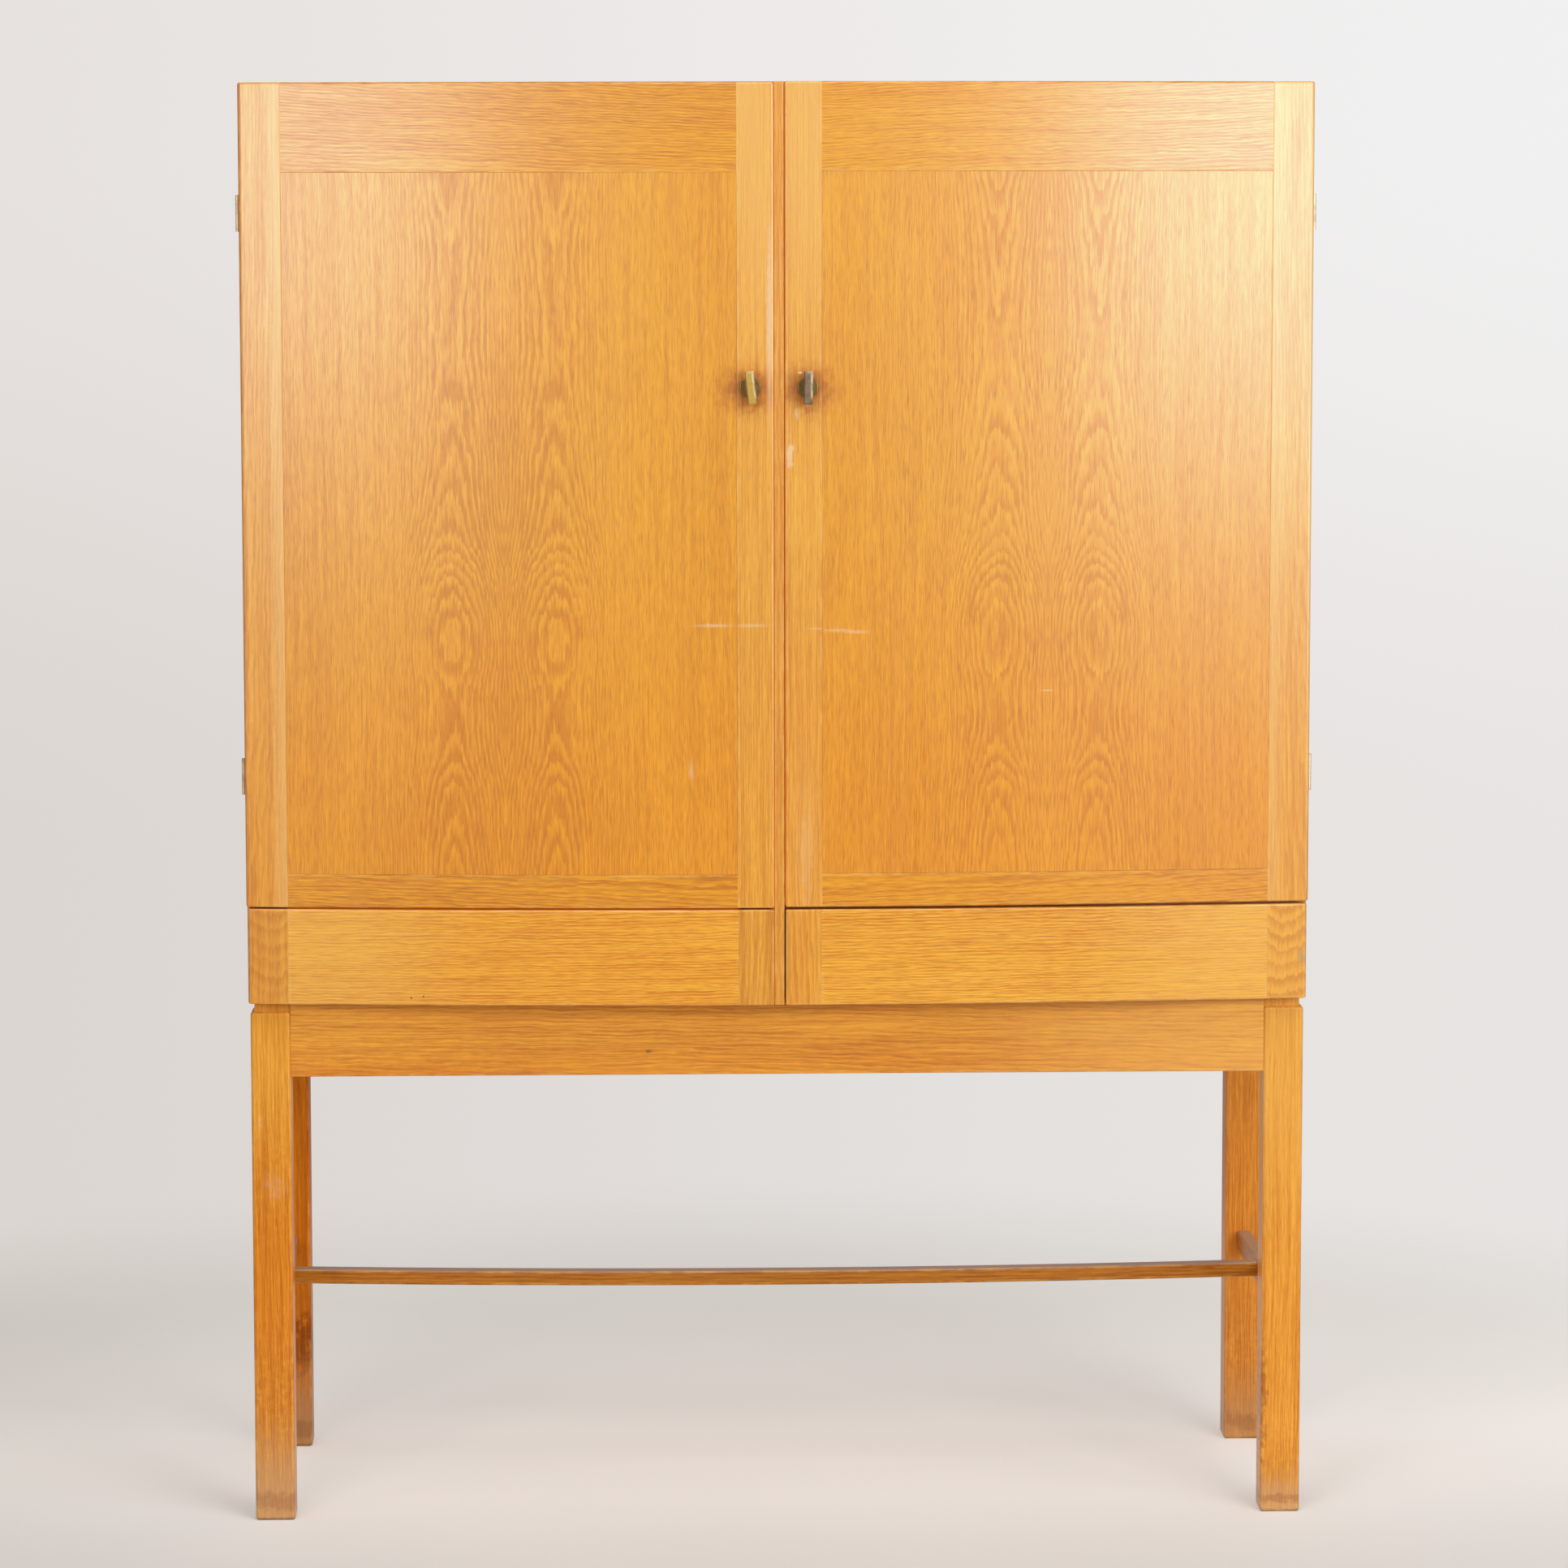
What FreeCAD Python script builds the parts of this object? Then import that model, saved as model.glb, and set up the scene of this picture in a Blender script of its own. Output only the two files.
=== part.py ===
import FreeCAD, Part
import math
import os
from FreeCAD import Vector

# Bow-fronted two-door oak cabinet on an open four-legged stand, with two drawers under the doors.
# Frame: the origin is on the floor under the middle of the overall box. +X runs to the right seen
# from the front, +Y to the back and +Z up. Every length is in millimetres.
# Depths named "near" and "far" are measured square to the bowed front, from its face backwards.

# Case
case_width = 1200.0
case_depth = 440.0
bow_rise = 33.0
board_thickness = 20.0
partition_thickness = 20.0
partition_tongue = 6.0
middle_board_housing = 6.0
front_seat_gap = 1.0
fillet_width = 11.0
fillet_recess = 3.0
fillet_round = 1.0
back_panel_thickness = 6.0
back_rebate_width = 10.0

# Doors and drawer fronts, which share one bowed face
front_thickness = 20.0
front_round = 2.0
outer_round = 4.5
front_gap = 2.8
left_centre_gap = 0.6
right_centre_gap = 1.3
door_height = 921.2
left_door_drop = 1.0
right_door_drop = 0.0
outer_stile_width = 47.0
inner_stile_width = 41.0
top_rail_height = 99.0
bottom_rail_height = 38.0
panel_rebate_width = 8.0
panel_rebate_depth = 12.0
panel_gap = 0.2
rail_tenon_length = 25.0
rail_tenon_thickness = 6.0
rail_tenon_depth = 7.0
rail_tenon_shoulder = 10.0
mortise_spare = 1.0

# Shelves
shelf_count = 2
shelf_thickness = 18.0
shelf_side_gap = 1.0
shelf_setback = 22.0
shelf_back_gap = 6.0
shelf_pin_radius = 3.0
shelf_pin_hold = 8.0
shelf_pin_reach = 9.0
shelf_pin_inset = 40.0

# Stand
leg_height = 598.5
leg_section = 45.0
leg_side_inset = 2.0
leg_setback = 18.0
leg_edge_round = 4.0
leg_foot_round = 3.5
neck_height = 12.0
neck_inset = 4.5
neck_inner_inset = 0.4
apron_height = 86.5
apron_thickness = 20.0
apron_recess = 2.0
apron_round = 1.5
apron_tenon_thickness = 8.0
apron_tenon_shoulder = 14.0
apron_tenon_wall = 4.0
stretcher_top = 257.0
side_stretcher_width = 15.0
side_stretcher_height = 25.0
side_tenon_length = 18.0
long_stretcher_depth = 20.0
long_stretcher_height = 17.0
long_stretcher_near = 197.0
long_tenon_length = 7.0
stretcher_round = 2.0
stretcher_bevel = 1.5
stretcher_tenon_shoulder = 3.5

# Butt hinges
hinge_height = 40.0
hinge_inset = 145.0
knuckle_count = 3
knuckle_radius = 2.1
knuckle_gap = 0.3
knuckle_stand_off = 0.3
leaf_width = 17.0
leaf_thickness = 1.2
leaf_gap = 0.2
hinge_pin_radius = 1.1
hinge_pin_tip = 0.5
running_clearance = 0.05
hinge_screw_spread = 24.0
hinge_screw_edge = 7.0
hinge_screw_head_radius = 2.8
hinge_screw_head_height = 1.3
hinge_screw_radius = 1.5
hinge_screw_length = 12.0

# Turning knobs and their latches
knob_offset = 32.0
knob_rise = 583.0
knob_reach = 20.0
left_knob_tilt = 6.5
right_knob_tilt = 1.0
rosette_radius = 11.7
rosette_thickness = 2.6
rosette_seat = 0.3
rosette_round = 0.8
knob_bar_width = 10.0
knob_bar_height = 37.0
knob_bar_thickness = 5.0
knob_bar_bevel = 1.2
knob_neck_radius = 4.6
knob_neck_gap = 0.4
spindle_radius = 3.4
tongue_set = 10.0
tongue_thickness = 3.0
tongue_width = 10.0
tongue_engagement = 6.0
latch_clearance = 0.8
keeper_thickness = 1.5
keeper_margin = 6.0

# Drawers
drawer_front_height = 108.5
drawer_end_inset = 1.5
outer_end_block_width = 45.0
inner_end_block_width = 40.0
drawer_side_gap = 1.0
drawer_lift = 2.5
drawer_headroom = 4.0
drawer_side_thickness = 15.0
drawer_back_thickness = 12.0
drawer_back_gap = 20.0
drawer_back_drop = 5.0
drawer_bottom_thickness = 6.0
drawer_bottom_rise = 7.0
drawer_groove = 6.0
runner_thickness = 8.0
runner_height = 12.0
runner_clearance = 0.3
runner_setback = 30.0
runner_back_gap = 10.0

# Screws of the back panel
panel_screw_head_radius = 3.4
panel_screw_head_height = 1.9
panel_screw_radius = 1.6
panel_screw_length = 18.0
panel_screws_up = 4
panel_screws_across = 4

X_AXIS = Vector(1, 0, 0)
Y_AXIS = Vector(0, 1, 0)
Z_AXIS = Vector(0, 0, 1)
ORIGIN = Vector(0, 0, 0)

# Plan of the bow: one circle through the outer door edges
half_width = case_width / 2
bow_radius = (half_width ** 2 + bow_rise ** 2) / (2 * bow_rise)
chord_to_centre = bow_radius - bow_rise
knob_stand_out = math.sqrt(bow_radius ** 2 - knob_offset ** 2) - chord_to_centre + knob_reach
front_edge_y = (knob_stand_out - case_depth) / 2
bow_centre_y = front_edge_y + chord_to_centre
back_y = front_edge_y + case_depth
panel_front_y = back_y - back_panel_thickness
case_near = front_thickness + front_seat_gap

# Heights
case_bottom = leg_height
inner_bottom = case_bottom + board_thickness
drawer_front_top = case_bottom + drawer_front_height
doors_bottom = drawer_front_top + front_gap
case_top = doors_bottom + door_height
inner_top = case_top - board_thickness
middle_z = drawer_front_top + front_gap / 2
middle_under = middle_z - board_thickness / 2
middle_over = middle_z + board_thickness / 2

# Clear widths inside the case, left of the centre
inner_x = half_width - board_thickness
partition_x = partition_thickness / 2

# Stand
leg_x0 = -half_width + leg_side_inset
leg_x1 = leg_x0 + leg_section
leg_y0 = front_edge_y + leg_setback
leg_y1 = leg_y0 + leg_section
stand_middle_y = (leg_y0 + back_y) / 2
leg_shoulder = leg_height - neck_height
apron_bottom = leg_height - apron_height
apron_tenon_set = apron_recess + (apron_thickness - apron_tenon_thickness) / 2
apron_tenon_length = leg_section - apron_tenon_set - apron_tenon_thickness - apron_tenon_wall
side_stretcher_x = (leg_x0 + leg_x1) / 2
side_stretcher_inner = side_stretcher_x + side_stretcher_width / 2

# Hinge axis, in the middle of the gap behind the doors and just outside the case
pin_x = -(half_width + knuckle_radius + knuckle_stand_off)
pin_near = front_thickness + front_seat_gap / 2
pin_y = bow_centre_y - math.sqrt((bow_radius - pin_near) ** 2 - pin_x ** 2)
hinge_turn = math.degrees(math.asin(pin_x / (bow_radius - pin_near)))
hinge_heights = [doors_bottom + hinge_inset, case_top - hinge_inset]

# Knob axis
knob_x = -knob_offset
knob_z = doors_bottom + knob_rise
knob_face_y = bow_centre_y - math.sqrt(bow_radius ** 2 - knob_offset ** 2)
tongue_y0 = knob_face_y + front_thickness + tongue_set
tongue_y1 = tongue_y0 + tongue_thickness
tongue_gap = knob_offset - partition_x
tongue_reach = tongue_gap + tongue_engagement

# Drawer box, left drawer
drawer_x0 = -inner_x + drawer_side_gap
drawer_x1 = -partition_x - drawer_side_gap
drawer_z0 = inner_bottom + drawer_lift
drawer_z1 = middle_under - drawer_headroom
drawer_back_y = panel_front_y - drawer_back_gap
runner_z = (drawer_z0 + drawer_z1) / 2
runner_y0 = front_edge_y + case_near + runner_setback
runner_y1 = panel_front_y - runner_back_gap
drawer_bottom_z = drawer_z0 + drawer_bottom_rise


def box(x0, x1, y0, y1, z0, z1):
    return Part.makeBox(x1 - x0, y1 - y0, z1 - z0, Vector(x0, y0, z0))


def rod(radius, start, end):
    return Part.makeCylinder(radius, (end - start).Length, start, end - start)


def mirrored(shape):
    """The same shape on the other side of the cabinet's middle plane."""
    return shape.mirror(ORIGIN, X_AXIS)


def mirrored_back(shape):
    """The same shape at the other end of the stand's depth."""
    return shape.mirror(Vector(0, stand_middle_y, 0), Y_AXIS)


def on_side(side, shape):
    return shape if side == "left" else mirrored(shape)


def fused(first, *others):
    return first.fuse(list(others)).removeSplitter()


def bow_y(x, depth):
    return bow_centre_y - math.sqrt((bow_radius - depth) ** 2 - x ** 2)


def bow_point(x, depth):
    return Vector(x, bow_y(x, depth), 0)


def bow_arc(x0, x1, depth):
    ends = [bow_point(x, depth) for x in (x0, (x0 + x1) / 2, x1)]
    return Part.Arc(*ends).toShape()


def line(start, end):
    return Part.LineSegment(start, end).toShape()


def risen(edges, z0, z1):
    """A closed plan outline extruded from z0 to z1."""
    face = Part.Face(Part.Wire(edges))
    face.translate(Vector(0, 0, z0))
    return face.extrude(Vector(0, 0, z1 - z0))


def bow_block(x0, x1, z0, z1, near, far):
    """A block between two arcs parallel to the bowed front."""
    outline = [
        bow_arc(x0, x1, near),
        line(bow_point(x1, near), bow_point(x1, far)),
        bow_arc(x1, x0, far),
        line(bow_point(x0, far), bow_point(x0, near)),
    ]
    return risen(outline, z0, z1)


def bow_board(x0, x1, z0, z1, near, rear_y):
    """A block with a bowed front and a flat back."""
    right_rear = Vector(x1, rear_y, 0)
    left_rear = Vector(x0, rear_y, 0)
    outline = [
        bow_arc(x0, x1, near),
        line(bow_point(x1, near), right_rear),
        line(right_rear, left_rear),
        line(left_rear, bow_point(x0, near)),
    ]
    return risen(outline, z0, z1)


def long_edges(shape, axis):
    """The edges that run along an axis from end to end."""
    picked = []
    for edge in shape.Edges:
        span = edge.Vertexes[-1].Point - edge.Vertexes[0].Point
        if abs(span.dot(axis)) > 0.9 * edge.Length:
            picked.append(edge)
    return picked


def at_level(edges, z):
    """Those of the edges that lie wholly at one height."""
    return [edge for edge in edges if all(abs(v.Z - z) < 1e-4 for v in edge.Vertexes)]


def on_bow(vertex, depth):
    """Whether a vertex lies on the bowed surface at that depth."""
    reach = math.hypot(vertex.X, vertex.Y - bow_centre_y)
    return abs(reach - (bow_radius - depth)) < 1e-4


def bowed_edges(block, depth):
    """The block's long edges that follow the bow at that depth."""
    return [edge for edge in long_edges(block, X_AXIS) if all(on_bow(v, depth) for v in edge.Vertexes)]


def rounded_front(block, radius, near):
    """The block with every edge that reaches its bowed face rounded."""
    edges = [edge for edge in block.Edges if any(on_bow(v, near) for v in edge.Vertexes)]
    return block.makeFillet(radius, edges)


def front_slab(x0, x1, z0, z1):
    """A slab of the bowed front, well rounded at its outer end x0, with its other front edges eased."""
    slab = bow_block(x0, x1, z0, z1, 0, front_thickness)
    plumb = [edge for edge in long_edges(slab, Z_AXIS) if all(on_bow(v, 0) for v in edge.Vertexes)]
    slab = slab.makeFillet(outer_round, [edge for edge in plumb if abs(edge.Vertexes[0].X - x0) < 1e-4])
    eased = []
    for edge in slab.Edges:
        ends = [v.X for v in edge.Vertexes]
        across = max(ends) - min(ends) > 1e-4
        if any(on_bow(v, 0) for v in edge.Vertexes) and (across or abs(ends[0] - x1) < 1e-4):
            eased.append(edge)
    return slab.makeFillet(front_round, eased)


def countersunk_screw(head_radius, head_height, radius, length):
    """A wood screw pointing along +Z with the flat of its head at the origin."""
    head = Part.makeCone(head_radius, radius, head_height)
    shank = Part.makeCylinder(radius, length)
    return fused(head, shank)


# Stand

def apron_tenon_x():
    """Tenon of the front apron in the left leg."""
    y0 = leg_y0 + apron_tenon_set
    z0 = apron_bottom + apron_tenon_shoulder
    z1 = leg_shoulder - apron_tenon_shoulder
    return box(leg_x1 - apron_tenon_length, leg_x1, y0, y0 + apron_tenon_thickness, z0, z1)


def apron_tenon_y():
    """Tenon of the left apron in the front leg."""
    x0 = leg_x0 + apron_tenon_set
    z0 = apron_bottom + apron_tenon_shoulder
    z1 = leg_shoulder - apron_tenon_shoulder
    return box(x0, x0 + apron_tenon_thickness, leg_y1 - apron_tenon_length, leg_y1, z0, z1)


def side_stretcher_tenon():
    """Tenon of the left stretcher in the front leg."""
    reach = side_stretcher_width / 2 - stretcher_tenon_shoulder
    z0 = stretcher_top - side_stretcher_height + stretcher_tenon_shoulder
    z1 = stretcher_top - stretcher_tenon_shoulder
    return box(side_stretcher_x - reach, side_stretcher_x + reach, leg_y1 - side_tenon_length, leg_y1, z0, z1)


def long_stretcher_tenon():
    """Stub tenon of the long stretcher in the left stretcher."""
    y0 = bow_y(side_stretcher_inner, long_stretcher_near) + stretcher_tenon_shoulder
    y1 = y0 + long_stretcher_depth - 2 * stretcher_tenon_shoulder
    z0 = stretcher_top - long_stretcher_height + stretcher_tenon_shoulder
    z1 = stretcher_top - stretcher_tenon_shoulder
    return box(side_stretcher_inner - long_tenon_length, side_stretcher_inner, y0, y1, z0, z1)


def front_left_leg():
    post = box(leg_x0, leg_x1, leg_y0, leg_y1, 0, leg_shoulder)
    post = post.makeFillet(leg_edge_round, long_edges(post, Z_AXIS))
    ends = at_level(post.Edges, 0) + at_level(post.Edges, leg_shoulder)
    post = post.makeFillet(leg_foot_round, ends)
    neck_x1 = leg_x1 - neck_inner_inset
    neck_y1 = leg_y1 - neck_inner_inset
    neck = box(leg_x0 + neck_inset, neck_x1, leg_y0 + neck_inset, neck_y1, leg_shoulder - neck_height, leg_height)
    return fused(post, neck).cut([apron_tenon_x(), apron_tenon_y(), side_stretcher_tenon()])


def front_apron():
    y0 = leg_y0 + apron_recess
    rail = box(leg_x1, -leg_x1, y0, y0 + apron_thickness, apron_bottom, leg_height)
    rail = rail.makeFillet(apron_round, at_level(long_edges(rail, X_AXIS), apron_bottom))
    return fused(rail, apron_tenon_x(), mirrored(apron_tenon_x()))


def left_apron():
    x0 = leg_x0 + apron_recess
    rear_y = back_y - leg_section
    rail = box(x0, x0 + apron_thickness, leg_y1, rear_y, apron_bottom, leg_height)
    rail = rail.makeFillet(apron_round, at_level(long_edges(rail, Y_AXIS), apron_bottom))
    return fused(rail, apron_tenon_y(), mirrored_back(apron_tenon_y()))


def left_stretcher():
    x0 = side_stretcher_x - side_stretcher_width / 2
    z0 = stretcher_top - side_stretcher_height
    bar = box(x0, side_stretcher_inner, leg_y1, back_y - leg_section, z0, stretcher_top)
    bar = bar.makeFillet(stretcher_round, long_edges(bar, Y_AXIS))
    bar = fused(bar, side_stretcher_tenon(), mirrored_back(side_stretcher_tenon()))
    return bar.cut(long_stretcher_tenon())


def long_stretcher():
    """A bar parallel to the front, with its front edges rounded and its back edges bevelled."""
    far = long_stretcher_near + long_stretcher_depth
    z0 = stretcher_top - long_stretcher_height
    bar = bow_block(side_stretcher_inner, -side_stretcher_inner, z0, stretcher_top, long_stretcher_near, far)
    bar = bar.makeFillet(stretcher_round, bowed_edges(bar, long_stretcher_near))
    bar = bar.makeChamfer(stretcher_bevel, bowed_edges(bar, far))
    return fused(bar, long_stretcher_tenon(), mirrored(long_stretcher_tenon()))


# Case

def case_board(corners):
    """A board of the mitred case: an XZ outline cut to the bowed front plan."""
    points = [Vector(x, back_y, z) for x, z in corners]
    outline = Part.Face(Part.makePolygon(points + points[:1]))
    run = case_depth + bow_rise
    prism = outline.extrude(Vector(0, -run, 0))
    plan = bow_board(-half_width, half_width, case_bottom, case_top, case_near, back_y)
    return plan.common(prism)


def back_rebate():
    x1 = inner_x + back_rebate_width
    z0 = inner_bottom - back_rebate_width
    return box(-x1, x1, panel_front_y, back_y, z0, inner_top + back_rebate_width)


def hinge_parts_of(build):
    """One left hinge piece at each hinge height."""
    return [hinge_placed(build(), z) for z in hinge_heights]


def left_side():
    corners = [
        (-half_width, case_bottom),
        (-inner_x, inner_bottom),
        (-inner_x, inner_top),
        (-half_width, case_top),
    ]
    cutters = [back_rebate(), left_middle_board()]
    cutters += left_shelf_pins(-inner_x, -1)
    cutters += hinge_parts_of(case_leaf_seat)
    cutters += hinge_parts_of(case_leaf_screws)
    cutters += panel_screws()
    return case_board(corners).cut(cutters)


def top_board():
    corners = [
        (-half_width, case_top),
        (half_width, case_top),
        (inner_x, inner_top),
        (-inner_x, inner_top),
    ]
    return case_board(corners).cut([back_rebate(), plain_partition()] + panel_screws())


def bottom_board():
    corners = [
        (-half_width, case_bottom),
        (half_width, case_bottom),
        (inner_x, inner_bottom),
        (-inner_x, inner_bottom),
    ]
    return case_board(corners).cut([back_rebate(), plain_partition()] + panel_screws())


def plain_partition():
    """The partition board with its tongues, before its housings and pockets are cut."""
    z0 = inner_bottom - partition_tongue
    z1 = inner_top + partition_tongue
    return bow_board(-partition_x, partition_x, z0, z1, case_near, panel_front_y)


def centre_partition():
    left_cutters = [left_middle_board(), latch_pocket(), keeper_seat()]
    left_cutters += left_shelf_pins(-partition_x, 1)
    cutters = left_cutters + [mirrored(cutter) for cutter in left_cutters]
    return plain_partition().cut(cutters + panel_screws())


def centre_fillet():
    strip = bow_block(-fillet_width / 2, fillet_width / 2, case_bottom, case_top, fillet_recess, case_near)
    return rounded_front(strip, fillet_round, fillet_recess)


def left_middle_board():
    x0 = -inner_x - middle_board_housing
    x1 = -partition_x + middle_board_housing
    return bow_board(x0, x1, middle_under, middle_over, case_near, panel_front_y)


def back_panel():
    return back_rebate().cut(panel_screws())


def panel_screws():
    """Countersunk screws round the back panel's edge, pointing forwards."""
    edge_x = inner_x + back_rebate_width / 2
    low_z = inner_bottom - back_rebate_width / 2
    high_z = inner_top + back_rebate_width / 2
    places = []
    for row in range(panel_screws_up):
        z = inner_bottom + (inner_top - inner_bottom) * (row + 0.5) / panel_screws_up
        places += [(-edge_x, z), (edge_x, z)]
    for column in range(panel_screws_across):
        x = inner_x * (2 * column + 1 - panel_screws_across) / panel_screws_across
        places += [(x, low_z), (x, high_z)]
    screws = []
    for x, z in places:
        screw = countersunk_screw(
            panel_screw_head_radius, panel_screw_head_height, panel_screw_radius, panel_screw_length)
        screw.rotate(ORIGIN, X_AXIS, 90)
        screw.translate(Vector(x, back_y, z))
        screws.append(screw)
    return screws


# Shelves, on two pins at each end

def shelf_levels():
    """Heights of the shelves' undersides, evenly spaced in the door compartment."""
    bay = (inner_top - middle_over - shelf_count * shelf_thickness) / (shelf_count + 1)
    return [middle_over + bay * (i + 1) + shelf_thickness * i for i in range(shelf_count)]


def shelf_front_y():
    return front_edge_y + case_near + shelf_setback


def shelf_rear_y():
    return panel_front_y - shelf_back_gap


def left_shelves():
    x0 = -inner_x + shelf_side_gap
    x1 = -partition_x - shelf_side_gap
    return [box(x0, x1, shelf_front_y(), shelf_rear_y(), z, z + shelf_thickness) for z in shelf_levels()]


def left_shelf_pins(wall_x, into):
    """Pins of the left shelves in one wall; into is the direction from the bay into the wood."""
    pins = []
    for z in shelf_levels():
        for y in (shelf_front_y() + shelf_pin_inset, shelf_rear_y() - shelf_pin_inset):
            start = Vector(wall_x - into * shelf_pin_reach, y, z - shelf_pin_radius)
            end = Vector(wall_x + into * shelf_pin_hold, y, z - shelf_pin_radius)
            pins.append(rod(shelf_pin_radius, start, end))
    return pins


def shelf_pins():
    left = left_shelf_pins(-inner_x, -1) + left_shelf_pins(-partition_x, 1)
    return left + [mirrored(pin) for pin in left]


# Hinges, built on their pin with the leaves running along +X and the case behind at +Y

def hinge_placed(shape, z):
    shape.rotate(ORIGIN, Z_AXIS, hinge_turn)
    shape.translate(Vector(pin_x, pin_y, z))
    return shape


def knuckle_spans(first):
    """Heights of every other knuckle, counted from the lowest."""
    pitch = hinge_height / knuckle_count
    spans = []
    for index in range(first, knuckle_count, 2):
        low = -hinge_height / 2 + pitch * index
        spans.append((low + knuckle_gap / 2, low + pitch - knuckle_gap / 2))
    return spans


def hinge_leaf(y0, y1, first, bore_radius):
    """A leaf plate between y0 and y1 with its own knuckles rolled round the pin."""
    plate_x = knuckle_radius + knuckle_stand_off
    pieces = [box(plate_x, leaf_width, y0, y1, -hinge_height / 2, hinge_height / 2)]
    for z0, z1 in knuckle_spans(first):
        pieces.append(box(0, plate_x, y0, y1, z0, z1))
        pieces.append(rod(knuckle_radius, Vector(0, 0, z0), Vector(0, 0, z1)))
    bore = rod(bore_radius, Vector(0, 0, -hinge_height), Vector(0, 0, hinge_height))
    return fused(*pieces).cut(bore)


def screw_spots():
    x = leaf_width - hinge_screw_edge
    return [(x, -hinge_screw_spread / 2), (x, hinge_screw_spread / 2)]


def leaf_screws(face_y, turn):
    screws = []
    for x, z in screw_spots():
        screw = countersunk_screw(
            hinge_screw_head_radius, hinge_screw_head_height, hinge_screw_radius, hinge_screw_length)
        screw.rotate(ORIGIN, X_AXIS, turn)
        screw.translate(Vector(x, face_y, z))
        screws.append(screw)
    return Part.makeCompound(screws)


def case_leaf_screws():
    return leaf_screws(leaf_gap / 2, -90)


def door_leaf_screws():
    return leaf_screws(-leaf_gap / 2, 90)


def case_leaf():
    y0 = leaf_gap / 2
    leaf = hinge_leaf(y0, y0 + leaf_thickness, 0, hinge_pin_radius)
    return leaf.cut(case_leaf_screws().Solids)


def door_leaf():
    y1 = -leaf_gap / 2
    leaf = hinge_leaf(y1 - leaf_thickness, y1, 1, hinge_pin_radius + running_clearance)
    return leaf.cut(door_leaf_screws().Solids)


def case_leaf_seat():
    """Shallow recess that lets the leaf into the front edge of the case side."""
    rear = leaf_gap / 2 + leaf_thickness
    return box(0, leaf_width, -front_seat_gap, rear, -hinge_height / 2, hinge_height / 2)


def door_leaf_seat():
    """Shallow recess that lets the leaf into the back of the door stile."""
    rear = leaf_gap / 2 + leaf_thickness
    return box(0, leaf_width, -rear, front_seat_gap, -hinge_height / 2, hinge_height / 2)


def hinge_pin():
    reach = hinge_height / 2
    shaft = rod(hinge_pin_radius, Vector(0, 0, -reach), Vector(0, 0, reach))
    tips = [
        rod(knuckle_radius, Vector(0, 0, reach), Vector(0, 0, reach + hinge_pin_tip)),
        rod(knuckle_radius, Vector(0, 0, -reach - hinge_pin_tip), Vector(0, 0, -reach)),
    ]
    return fused(shaft, *tips)


def both_sides(shapes):
    return shapes + [mirrored(shape) for shape in shapes]


# Doors, worked out as the left door and mirrored for the right

class Door:
    """Edges of one door, in the left door's place."""

    def __init__(self, centre_gap, drop):
        self.x0 = -half_width
        self.x1 = -fillet_width / 2 - centre_gap
        self.z0 = doors_bottom - drop
        self.z1 = self.z0 + door_height
        self.field_x0 = self.x0 + outer_stile_width
        self.field_x1 = self.x1 - inner_stile_width
        self.field_z0 = self.z0 + bottom_rail_height
        self.field_z1 = self.z1 - top_rail_height
        self.form = front_slab(self.x0, self.x1, self.z0, self.z1)
        self.rebate = bow_block(
            self.field_x0 - panel_rebate_width, self.field_x1 + panel_rebate_width,
            self.field_z0 - panel_rebate_width, self.field_z1 + panel_rebate_width,
            panel_rebate_depth, front_thickness + front_seat_gap)

    def part(self, x0, x1, z0, z1):
        """The piece of the door between two plumb lines and two levels."""
        y0 = knob_face_y - knob_reach
        return self.form.common(box(x0, x1, y0, back_y, z0, z1))

    def tenons(self, z0, z1, spare):
        """The two tenons of a rail, longer by the spare where they are cut as mortises."""
        near = rail_tenon_depth
        far = rail_tenon_depth + rail_tenon_thickness
        low = z0 + rail_tenon_shoulder
        high = z1 - rail_tenon_shoulder
        reach = rail_tenon_length + spare
        return [
            bow_block(self.field_x0 - reach, self.field_x0, low, high, near, far),
            bow_block(self.field_x1, self.field_x1 + reach, low, high, near, far),
        ]

    def mortises(self):
        return self.tenons(self.z0, self.field_z0, mortise_spare) + self.tenons(self.field_z1, self.z1, mortise_spare)

    def outer_stile(self):
        cutters = [self.rebate] + self.mortises()
        cutters += hinge_parts_of(door_leaf_seat)
        cutters += hinge_parts_of(door_leaf_screws)
        return self.part(self.x0, self.field_x0, self.z0, self.z1).cut(cutters)

    def inner_stile(self):
        bore_radius = spindle_radius + running_clearance
        bore = rod(bore_radius, knob_point(0), knob_point(front_thickness + tongue_set))
        seat = rod(rosette_radius, knob_point(-rosette_thickness), knob_point(rosette_seat))
        cutters = [self.rebate, bore, seat] + self.mortises()
        return self.part(self.field_x1, self.x1, self.z0, self.z1).cut(cutters)

    def rail(self, z0, z1):
        bar = self.part(self.field_x0, self.field_x1, z0, z1).cut(self.rebate)
        return fused(bar, *self.tenons(z0, z1, 0))

    def top_rail(self):
        return self.rail(self.field_z1, self.z1)

    def bottom_rail(self):
        return self.rail(self.z0, self.field_z0)

    def panel(self):
        face = bow_block(
            self.field_x0 + panel_gap, self.field_x1 - panel_gap,
            self.field_z0 + panel_gap, self.field_z1 - panel_gap, 0, panel_rebate_depth)
        lip = panel_rebate_width - panel_gap
        back = bow_block(
            self.field_x0 - lip, self.field_x1 + lip,
            self.field_z0 - lip, self.field_z1 + lip, panel_rebate_depth, front_thickness)
        return fused(face, back)


# Knobs and latches, worked out on the left door

def knob_point(depth):
    """A point of the knob's axis, depth behind the door's face."""
    return Vector(knob_x, knob_face_y + depth, knob_z)


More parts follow.
